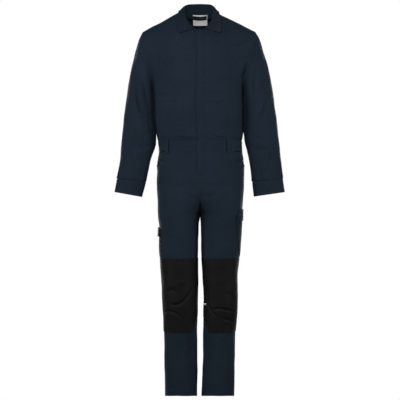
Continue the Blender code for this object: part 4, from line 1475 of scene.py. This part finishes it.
@dataclass
class Sleeves:
    """Both sleeves with their cuffs."""

    sewing: Sewing
    turns: int = 144
    rows: int = 160
    cuff_rows: int = 14
    spread: float = 1.15
    twill: float = 0.0012
    band: float = 0.0020
    gather: float = 0.0016
    gather_proud: float = 0.0015
    gather_reach: float = 0.045
    few_folds: int = 9
    many_folds: int = 14
    many_share: float = 0.6
    plain_top: float = 0.06
    press: float = 0.0012
    press_turn: float = 0.055
    press_top: Point = (0.12, 0.26)
    press_end: Point = (0.66, 0.56)
    cuff_proud: float = 0.0007
    cuff_gap: float = 0.0003
    cuff_creased: float = 0.5

    def tube(self, side: Side, name: str, shares: Array) -> Panel:
        """A length of sleeve, whose first column runs along the underarm seam.

        Args:
            side: The wearer's side.
            name: The node that it stands for.
            shares: The share of the sleeve's length at each row.

        Returns:
            The panel, without creases.
        """
        turns = np.arange(self.turns) / self.turns
        points = np.stack([FORM.hoop(side, share, turns) for share in shares])
        inside = points[len(shares) // 2].mean(axis=0)
        area = Area.ARM_RIGHT if side is Side.RIGHT else Area.ARM_LEFT
        return Panel(name, area, points, shares, turns, tuple(inside), closed=True)

    def build(self) -> None:
        """Makes each sleeve and its cuff."""
        for side in Side:
            shares = CUFF_SHARE * np.linspace(0, 1, self.rows + 1) ** self.spread
            sleeve = self.tube(side, f"sleeve_{side.own}", shares)
            found = DRAPE.amount(sleeve) * smooth(0, self.plain_top, sleeve.rows)[:, None]
            near = np.exp(-((CUFF_SHARE - sleeve.rows) / self.gather_reach))[:, None]
            turn = sleeve.columns * 2 * np.pi
            few, many = turn * self.few_folds + 0.8, turn * self.many_folds + 2.1 * side.value
            folds = np.sin(few) + self.many_share * np.sin(many)
            found = found + near * (self.gather * folds + self.gather_proud)
            nearest = np.exp(-((np.minimum(sleeve.columns, 1 - sleeve.columns) / self.press_turn) ** 2))
            beside = smooth(*self.press_top, sleeve.rows) * smooth(*self.press_end, sleeve.rows)
            pressed = nearest * beside[:, None]
            found = found * (1 - pressed) + self.press * pressed
            found[0] -= DRAPE.seam_depth
            found[-1] = -DRAPE.seam_depth
            sleeve.move(found)
            self.sewing.piece(sleeve, self.twill, Borders(first=True, top=True))
            cuff = self.tube(side, f"cuff_{side.own}", np.linspace(CUFF_SHARE, 1, self.cuff_rows + 1))
            cuff.points[..., 2] -= self.cuff_gap
            cuff.move(DRAPE.amount(cuff) * self.cuff_creased + self.cuff_proud)
            self.sewing.piece(cuff, self.band, Borders(top=True, bottom=True))


@dataclass
class Collar:
    """The collar's stand and fall."""

    sewing: Sewing
    shares: int = 40
    stand_rows: int = 10
    fall_rows: int = 26
    cloth: float = 0.0018
    roll: float = 0.0024
    lift: float = 0.0020
    edge_lift: float = 0.0055
    lift_out: float = 0.5
    lift_up: float = 0.7
    ripple: float = 0.0009
    ripple_run: Point = (17, 0.7)
    below_seam: float = 0.10
    fall_start: float = 0.06
    roll_angles: tuple[float, ...] = (-15, 20, 55, 90)

    def seam(self, side: Side, shares: Array) -> Array:
        """Points of the neck seam below each share of the collar.

        Args:
            side: The wearer's side.
            shares: Shares of the way from the centre back to the front.

        Returns:
            The points.
        """
        at = np.interp(shares, COLLAR.keys, np.arange(len(COLLAR.keys)))
        half = UNITS / 2
        back = FORM.neck(side, Face.BACK, np.minimum(at, half))
        front = FORM.neck(side, Face.FRONT, np.minimum(UNITS - at, half))
        return np.where((at <= half)[:, None], back, front)

    def stand_side(self, side: Side) -> Array:
        """The stand's columns on one side, centre back first.

        Args:
            side: The wearer's side.

        Returns:
            The grid of points.
        """
        shares = np.linspace(0, 1, self.shares + 1)
        seam = self.seam(side, shares)
        fold = np.stack([FORM.collar_point(side, share, np.zeros(1))[0] for share in shares])
        up = np.linspace(1, -self.below_seam, self.stand_rows + 1)[:, None, None]
        return seam + (fold - seam) * up

    def fall_side(self, side: Side) -> Array:
        """The fall's columns on one side: over the roll of the fold, then down to the edge.

        Args:
            side: The wearer's side.

        Returns:
            The grid of points.
        """
        columns = []
        rows = np.linspace(self.fall_start, 1, self.fall_rows)
        for share in np.linspace(0, 1, self.shares + 1):
            run = FORM.collar_point(side, share, np.concatenate([[0.0], rows]))
            out = (run[-1] - run[0]) * (1, 1, 0)
            out /= np.linalg.norm(out)
            angles = np.radians(self.roll_angles)[:, None]
            turn = run[0] + self.roll * (-out * np.cos(angles) + np.array([0, 0, 1]) * np.sin(angles))
            rise = (self.lift + self.edge_lift * rows**2)[:, None]
            way = out * self.lift_out + (0, 0, self.lift_up)
            columns.append(np.concatenate([turn, run[1:] + way * rise]))
        return np.stack(columns, axis=1)

    def build(self) -> None:
        """Makes the stand and the fall."""
        whole = np.linspace(-1, 1, 2 * self.shares + 1)
        points = half_rows(self.stand_side)
        rows = np.linspace(1, 0, len(points))
        stand = Panel("collar_stand", Area.TORSO, points, rows, whole, (0.0, 0.0, 0.02))
        self.sewing.piece(stand, self.cloth, Borders(bottom=True))
        points = half_rows(self.fall_side)
        rows = np.linspace(0, 1, len(points))
        fall = Panel("collar_fall", Area.TORSO, points, rows, whole, (0.0, 0.05, -0.2))
        across, start = self.ripple_run
        fall.move(self.ripple * np.sin(whole * across + start) * rows[:, None] ** 2)
        self.sewing.piece(fall, self.cloth, ALL_BUT_TOP)


@dataclass
class FrontCover:
    """The covered front: a strip from the neck to below the waist, free along its right edge."""

    sewing: Sewing
    body: Body
    right: float = 0.012
    left: float = 0.017
    end: float = -0.650
    columns: int = 14
    easing: int = 3
    cloth: float = 0.0016
    bow: float = 0.0016
    bow_middle: float = -0.345
    bow_half: float = 0.060
    sinks: Point = (0.55, 0.98)
    off: float = 0.0006
    off_bodice: float = 0.0004
    free_off: float = 0.0012

    def build(self) -> None:
        """Lays the strip on the creased fronts."""
        lines = []
        for group in ("bodice_front", "waistband_front", "trouser_front"):
            right, left = (self.body.panels[f"{group}_{side}"] for side in ("right", "left"))
            keys = right.rows[right.rows > self.end] if group == "trouser_front" else right.rows
            for key in keys if group == "bodice_front" else keys[1:]:
                lines.append(self.line(right, left, float(key), group == "waistband_front"))
        points = self.eased(np.stack(lines))
        rows = np.arange(len(points), dtype=float)
        columns = np.linspace(0, 1, self.columns)
        strip = Panel("fly_placket", Area.TORSO, points, rows, columns, (0, 0.1, -0.35))
        self.sewing.piece(strip, self.cloth, Borders(first=True))

    def line(self, right: Panel, left: Panel, key: float, on_band: bool) -> Array:
        """One row of the strip, from its free edge to its stitched one.

        Args:
            right: The panel under its right part.
            left: The panel under its left part.
            key: The row's key in both.
            on_band: Whether they are the waistband.

        Returns:
            The points of the row.
        """
        share = np.linspace(0, 1, self.columns)
        height = float(right.sample(np.array(key), np.array(0.0))[2])
        bow = math.exp(-(((height - self.bow_middle) / self.bow_half) ** 2))
        across = -self.right - self.bow * bow + (self.right + self.left + self.bow * bow) * share
        flush = 1 - smooth(*self.sinks, share) * (1 - on_band)
        lift = self.off + (self.cloth + self.off_bodice * (not on_band)) * flush
        lift = lift + self.free_off * (1 - share) ** 2 * (1 + bow)
        found = []
        for x, up in zip(across, lift):
            panel = right if x < 0 else left
            found.append(panel.sample(np.array(key), np.array(panel.column_at(key, x)), float(up)))
        return np.stack(found)

    def eased(self, points: Array) -> Array:
        """The strip with its rows averaged a little, so that it bridges the seams under it.

        Args:
            points: The grid of points.

        Returns:
            The grid, with its depths changed.
        """
        depth = points[..., 1].copy()
        for _ in range(self.easing):
            depth[1:-1] = np.minimum(depth[1:-1], (depth[:-2] + 2 * depth[1:-1] + depth[2:]) / 4)
        return stacked(points[..., 0], depth, points[..., 2])


Lift = Callable[[Array, float], Array]


class PocketPlan(NamedTuple):
    """A thigh pocket: its reach past the outseam each way, its heights, and how far its flap stands off."""

    side: Side
    front: float
    back: float
    top: float
    bottom: float
    flap_top: float
    flap_bottom: float
    flap_off: float


@dataclass
class ThighPockets:
    """The bags and flaps on the outsides of the thighs."""

    sewing: Sewing
    body: Body
    columns: int = 44
    bag_rows: int = 40
    flap_rows: int = 16
    easing: int = 4
    tries: int = 60
    tries_from: float = 4.5
    cloth: float = 0.0014
    gap: float = 0.0008
    bulge: float = 0.0012
    swell: float = 0.6
    flap_top_off: float = 0.5
    flap_opening: float = 0.6
    flap_ripple: float = 0.0003
    flap_run: float = 9
    slant_top: Point = (0.1365, -0.795)
    slant_end: Point = (0.1587, -0.995)
    plans: tuple[PocketPlan, ...] = (
        PocketPlan(Side.RIGHT, 1.15, 2.6, -0.872, -0.983, -0.864, -0.900, 0.0045),
        PocketPlan(Side.LEFT, 2.15, 1.8, -0.802, -0.983, -0.790, -0.836, 0.0022),
    )

    def reach(self, plan: PocketPlan, height: float, slanted: bool) -> float:
        """How far past the outseam the front edge lies at a height.

        Args:
            plan: The pocket.
            height: The height.
            slanted: Whether the front edge leans.

        Returns:
            The reach, in columns of the trousers.
        """
        if not slanted or plan.side is Side.RIGHT:
            return plan.front
        share = (self.slant_top[1] - height) / (self.slant_top[1] - self.slant_end[1])
        edge = self.slant_top[0] + (self.slant_end[0] - self.slant_top[0]) * share
        columns = np.linspace(self.tries_from, UNITS, self.tries)
        row = self.body.panels["trouser_front_left"].sample(np.full(self.tries, height), columns)
        across = np.maximum.accumulate(np.abs(row[:, 0]))
        return min(plan.front, UNITS - float(np.interp(edge, across, columns)))

    def wrapped(self, plan: PocketPlan, heights: Array, slanted: bool, lift: Lift) -> Array:
        """Points round the outseam, at the given heights.

        Args:
            plan: The pocket.
            heights: The heights of the rows.
            slanted: Whether the front edge leans.
            lift: Gives how far out a row lies, from shares across it and the share down.

        Returns:
            The grid of points.
        """
        front, back = (self.body.panels[f"trouser_{face}_{plan.side.own}"] for face in ("front", "back"))
        share = np.linspace(0, 1, self.columns)
        lines = []
        for down, height in zip(np.linspace(0, 1, len(heights)), heights):
            ahead_by = self.reach(plan, float(height), slanted)
            past = -ahead_by + share * (ahead_by + plan.back)
            ups = lift(share, float(down))
            rows = np.full(len(share), height)
            ahead = front.sample(rows, UNITS - np.abs(past), ups)
            behind = back.sample(rows, UNITS - np.abs(past), ups)
            lines.append(np.where((past <= 0)[:, None], ahead, behind))
        points = np.stack(lines)
        for _ in range(self.easing):
            points[:, 1:-1] = (points[:, :-2] + 2 * points[:, 1:-1] + points[:, 2:]) / 4
        return points

    def build(self) -> None:
        """Makes both pockets."""
        for plan in self.plans:
            inside = (plan.side.value * LEG_CENTRE, 0.0, -0.88)

            def bag_lift(share: Array, down: float) -> Array:
                """The bag swells in its middle, and its mouth stands off a little.

                Args:
                    share: Shares across the bag.
                    down: The share down it.

                Returns:
                    How far out the row lies.
                """
                height = plan.top + (plan.bottom - plan.top) * down
                below = min(max((plan.flap_bottom - height) / (plan.flap_bottom - plan.bottom), 0), 1)
                wide = np.clip(np.sin(np.pi * share), 0, 1) ** self.swell
                tall = max(math.sin(math.pi * below), 0) ** self.swell
                return self.gap + self.cloth + self.bulge * (wide * tall)

            def flap_lift(share: Array, down: float) -> Array:
                """The flap leaves the leg at its stitched top and stands off at its free edge."""
                off = plan.flap_off * (self.flap_top_off + self.flap_opening * down)
                return self.gap + 2 * self.cloth + off + self.flap_ripple * np.sin(share * self.flap_run)

            for name, top, bottom, count, lift in (
                ("pocket", plan.top, plan.bottom, self.bag_rows, bag_lift),
                ("flap", plan.flap_top, plan.flap_bottom, self.flap_rows, flap_lift),
            ):
                heights = np.linspace(top, bottom, count)
                points = self.wrapped(plan, heights, name == "pocket", lift)
                name = f"thigh_{name}_{plan.side.own}"
                panel = Panel(name, Area.LEGS, points, heights, np.linspace(0, 1, self.columns), inside)
                self.sewing.piece(panel, self.cloth, ALL_BUT_TOP)


@dataclass
class HipFacings:
    """The cloth behind the hip pocket openings."""

    sewing: Sewing
    rows: int = 32
    columns: int = 40
    inner: float = 3.85
    outer: float = 7.95
    top: float = -0.5585
    end: float = -0.650
    behind: float = 0.0018
    lower: float = 0.0078
    rise: float = 0.0026
    cloth: float = 0.0012
    seam_columns: Point = (5.8, 7.8)
    seam_heights: Point = (-0.612, -0.600)
    low_columns: Point = (4.3, 5.2)
    low_heights: Point = (-0.584, -0.603)

    def build(self) -> None:
        """Makes one facing behind each trouser front, which comes forward to meet the side seam."""
        rows = np.linspace(self.top, self.end, self.rows)
        columns = np.linspace(self.inner, self.outer, self.columns)
        near_seam = smooth(*self.seam_columns, columns)[None] * smooth(*self.seam_heights, rows)[:, None]
        below = smooth(*self.low_heights, rows)[:, None] * smooth(*self.low_columns, columns)[None]
        for side in Side:
            points = np.stack([FORM.leg(side, Face.FRONT, row, columns) for row in rows])
            inside = (side.value * LEG_CENTRE, 0, -0.6)
            panel = Panel(f"hip_facing_{side.own}", Area.LEGS, points, rows, columns, inside)
            panel.move(DRAPE.amount(panel) - self.behind + self.rise * near_seam - self.lower * below)
            self.sewing.piece(panel, self.cloth)


@dataclass
class KneePatches:
    """The dark patches over the fronts of both knees, and the tab in the left one's seam."""

    sewing: Sewing
    body: Body
    rows: int = 84
    columns: int = 64
    top: float = -0.986
    bottom: float = -1.283
    inner_margin: float = 0.10
    outer_margin: float = 0.18
    chamfer_start: float = 0.012
    chamfer_rise: float = 0.062
    chamfer_length: float = 0.072
    chamfer_run: float = 0.026
    cloth: float = 0.0014
    lift: float = 0.0005
    tab_rows: int = 7
    tab_columns: int = 9
    tab_height: float = -1.171
    tab_column: float = 1.35
    tab_off: float = 0.0030
    tab_hold: float = 0.0015
    tab_width: float = 0.0075
    tab_rise: float = 0.0055
    tab_cloth: float = 0.0008
    tab_bow: float = 0.0012

    def build(self) -> None:
        """Lays a patch on each creased trouser front."""
        rows = np.linspace(self.top, self.bottom, self.rows)
        share = np.linspace(0, 1, self.columns)
        for side in Side:
            front = self.body.panels[f"trouser_front_{side.own}"]
            lines = []
            for height in rows:
                down = max((self.bottom + self.chamfer_rise - height) / self.chamfer_length, 0)
                first = self.inner_margin
                if down > 0:
                    across = self.chamfer_start + self.chamfer_run * down
                    first = max(first, front.column_at(float(height), across))
                columns = first + (UNITS - self.outer_margin - first) * share
                lines.append(front.sample(np.full(self.columns, height), columns, self.lift + self.cloth))
            inside = (side.value * LEG_CENTRE, 0, -1.13)
            panel = Panel(f"knee_patch_{side.own}", Area.LEGS, np.stack(lines), rows, share, inside)
            made = self.sewing.shell(panel, self.cloth, Borders(True, True, True, True), "knee_fabric")
            self.sewing.declare(made, *([self.tab()] if side is Side.LEFT else []))

    def tab(self) -> bpy.types.Object:
        """The small folded tape beside the left knee, bowed a little off the leg.

        Returns:
            The tape, which has no cut of its own.
        """
        root = self.body.panels["trouser_front_left"].sample(
            np.array(self.tab_height), np.array(self.tab_column), self.tab_off
        )
        share = np.linspace(0, 1, self.tab_columns)
        across = root[0] + self.tab_hold - (self.tab_width + self.tab_hold) * share
        bow = root[1] - self.tab_bow * np.sin(np.pi * share)
        down = root[2] + self.tab_rise * np.linspace(0.5, -0.5, self.tab_rows)
        points = stacked(across[None], bow[None], down[:, None])
        panel = Panel("knee_tab", Area.LEGS, points, down, -share, (root[0], 0.1, root[2]))
        return self.sewing.shell(panel, self.tab_cloth, slot="label_white")


@dataclass
class BeltLoops:
    """Three narrow folded strips that bow off the waistband."""

    sewing: Sewing
    rows: int = 24
    columns: int = 9
    width: float = 0.012
    crown: float = 0.0004
    bow: float = 0.0030
    lift: float = 0.0027
    cloth: float = 0.0016
    top: float = -0.511
    bottom: float = -0.567
    places: tuple[tuple[str, Side, Face, float], ...] = (
        ("belt_loop_right", Side.RIGHT, Face.FRONT, -0.131),
        ("belt_loop_left", Side.LEFT, Face.FRONT, 0.111),
        ("belt_loop_back", Side.LEFT, Face.BACK, 0.0),
    )

    def build(self) -> None:
        """Makes the loops."""
        heights = np.linspace(self.top, self.bottom, self.rows)
        for name, side, face, centre in self.places:
            lines = []
            for share, height in zip(np.linspace(0, 1, self.rows), heights):
                table = BODICE if height > WAIST_TOP else TROUSERS
                half, depth = (table.read(way.own, height) for way in (side, face))
                x = centre + self.width * np.linspace(-0.5, 0.5, self.columns)
                over = (np.abs(x) / half) ** ROUNDNESS
                deep = (1 - over) ** (1 / ROUNDNESS)
                side_on = np.sign(x) * over ** (1 - 1 / ROUNDNESS) / half
                out = stacked(side_on, face.value * deep ** (ROUNDNESS - 1) / depth, 0)
                out /= np.linalg.norm(out, axis=-1, keepdims=True)
                crown = self.crown * np.cos(np.linspace(-np.pi / 2, np.pi / 2, self.columns))
                up = self.lift + self.bow * max(math.sin(math.pi * share), 0) ** 0.5 + crown
                lines.append(stacked(x, face.value * depth * deep, height) + out * up[:, None])
            points = np.stack(lines)
            panel = Panel(name, Area.TORSO, points, heights, np.linspace(0, 1, self.columns), (0, 0, -0.54))
            self.sewing.piece(panel, self.cloth, Borders(first=True, last=True))


class LabelPlan(NamedTuple):
    """A bare label: its ends, its heights, how far a tape sags, and how far it stands off the collar."""

    name: str
    slot: str
    left: float
    right: float
    top: float
    bottom: float
    sag: float
    stand_off: float


@dataclass
class NeckLabels:
    """The bare white label inside the back of the neck, and the dark hanging tape in front of it."""

    sewing: Sewing
    columns: int = 37
    rows: int = 17
    cloth: float = 0.0007
    back_cloth: float = 0.0016
    hollow: float = 12
    slope: float = 0.45
    plans: tuple[LabelPlan, ...] = (
        LabelPlan("neck_label", "label_white", -0.029, 0.028, 0.0035, -0.0385, 0.0, 0.0026),
        LabelPlan("neck_tag", "tag_dark", -0.033, 0.026, -0.0004, -0.0165, 0.0020, 0.0056),
    )

    def build(self) -> None:
        """Makes both, on the fronts of their solids."""
        for plan in self.plans:
            across = np.linspace(plan.left, plan.right, self.columns)
            down = np.linspace(plan.top, plan.bottom, self.rows)
            swing = np.linspace(-1, 1, self.columns)
            heights = down[:, None] - plan.sag * (1 - swing**2)
            y = self.depth(across[None], heights) - plan.stand_off
            points = stacked(across[None], y, heights)
            panel = Panel(plan.name, Area.TORSO, points, -down, across, (0, 0.5, plan.top))
            self.sewing.piece(panel, self.cloth, Borders(top=True), plan.slot)

    def depth(self, across: Array, height: Array) -> Array:
        """How far back the inside of the collar or of the bodice lies.

        Args:
            across: Distances along X.
            height: Heights.

        Returns:
            The places along Y.
        """
        y, z = FORM.neck_back
        fold_y, fold_z = (COLLAR.values[name][0] for name in ("fold_y", "fold_z"))
        stand = y + (fold_y - y) * (height - z) / (fold_z - z)
        below = y + (z - height) * self.slope
        return np.where(height > z, stand, below) - self.back_cloth - self.hollow * across**2


class Lamp(NamedTuple):
    """A square soft light: its place, what it faces, its power and its side."""

    name: str
    place: Place
    aim: Place
    power: float
    size: float


@dataclass
class Studio:
    """A white room with soft light from the front, a pale floor and the camera."""

    eye: Place = (-0.0012, -5.0, -0.7533)
    lens: float = 111.1
    floor: float = -1.62
    above: float = 0.03
    level: float = 0.22
    below: float = 0.02
    soft_below: float = 0.5
    soft_above: float = 0.6
    sensor: float = 36.0
    floor_size: float = 40.0
    lamps: tuple[Lamp, ...] = (
        Lamp("front", (-0.30, -2.3, 0.60), (0.0, 0.0, -0.45), 31.0, 0.6),
        Lamp("left", (-2.1, -1.3, -0.45), (0.0, 0.0, -0.50), 26.0, 0.9),
        Lamp("right", (2.1, -1.3, -0.45), (0.0, 0.0, -0.50), 25.5, 0.9),
        Lamp("back left", (-1.5, 2.8, -0.4), (0.0, 0.0, -0.70), 60.0, 0.9),
        Lamp("back right", (1.5, 2.8, -0.4), (0.0, 0.0, -0.70), 60.0, 0.9),
    )

    def build(self) -> None:
        """Sets everything up."""
        bpy.context.scene.view_settings.view_transform = "Standard"
        self.room()
        self.ground()
        for lamp in self.lamps:
            self.light(lamp)
        camera = placed("camera", bpy.data.cameras.new("camera"))
        camera.data.lens = self.lens
        camera.data.sensor_width = self.sensor
        camera.location = self.eye
        camera.rotation_euler = (math.pi / 2, 0, 0)
        bpy.context.scene.camera = camera
        LOG.info("studio: camera at %s, lens %.1f mm", self.eye, self.lens)

    def room(self) -> None:
        """White where the camera sees it, with most of its soft light coming from level with the garment."""
        world = Graph(bpy.data.worlds.new("room"))
        bpy.context.scene.world = world.holder
        place = world.node("ShaderNodeTexCoord", {}, {}).outputs["Generated"]
        height = world.node("ShaderNodeSeparateXYZ", {}, {0: place}).outputs[2]
        rise = self.ramp(world, height, -self.soft_below, 0.0, self.below, self.level)
        fall = self.ramp(world, height, 0.0, self.soft_above, 0.0, self.above - self.level)
        seen = Wire(world, world.node("ShaderNodeLightPath", {}, {}).outputs["Is Camera Ray"])
        glow = {"Color": (1, 1, 1, 1), "Strength": (rise + fall).maths("MAXIMUM", seen)}
        light = world.node("ShaderNodeBackground", {}, glow)
        world.node("ShaderNodeOutputWorld", {}, {"Surface": light.outputs[0]})

    def ramp(
        self, graph: Graph, value: bpy.types.NodeSocket, low: float, high: float, first: float, last: float
    ) -> Wire:
        """A number that goes from first to last while the value goes from low to high.

        Args:
            graph: The nodes that it joins.
            value: The value.
            low: Where it starts.
            high: Where it ends.
            first: The number up to low.
            last: The number from high.

        Returns:
            The number.
        """
        names = ("Value", "From Min", "From Max", "To Min", "To Max")
        made = graph.node("ShaderNodeMapRange", {}, dict(zip(names, (value, low, high, first, last))))
        return Wire(graph, made.outputs[0])

    def ground(self) -> None:
        """The floor, which neither darkens the cloth nor shows in it."""
        bpy.ops.mesh.primitive_plane_add(size=self.floor_size, location=(0, 0, self.floor))
        floor = bpy.context.active_object
        floor.name = "floor"
        paint = Graph(bpy.data.materials.new("floor"))
        shader = paint.node("ShaderNodeEmission", {}, {"Color": (1, 1, 1, 1), "Strength": 1.0})
        paint.node("ShaderNodeOutputMaterial", {}, {"Surface": shader.outputs[0]})
        floor.data.materials.append(paint.holder)
        floor.visible_diffuse = False
        floor.visible_glossy = False
        floor.visible_shadow = False

    def light(self, lamp: Lamp) -> None:
        """Adds one light.

        Args:
            lamp: Its plan.
        """
        data = bpy.data.lights.new(lamp.name, "AREA")
        data.energy, data.size = lamp.power, lamp.size
        made = placed(lamp.name, data)
        made.location = lamp.place
        made.visible_camera = False
        made.rotation_euler = (Vector(lamp.aim) - Vector(lamp.place)).to_track_quat("-Z", "Y").to_euler()


def main() -> None:
    """Builds the garment and the studio, and logs how many pieces were made."""
    logging.basicConfig(level=logging.INFO, format="%(name)s %(message)s", stream=sys.stdout)
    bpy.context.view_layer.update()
    sewing = Sewing()
    body = Body(sewing)
    body.shape()
    for group in (
        body,
        Sleeves(sewing),
        Collar(sewing),
        FrontCover(sewing, body),
        BeltLoops(sewing),
        HipFacings(sewing),
        ThighPockets(sewing, body),
        KneePatches(sewing, body),
        NeckLabels(sewing),
    ):
        group.build()
    Studio().build()
    LOG.info("%d pieces made", sewing.count)


if __name__ == "__main__":
    main()
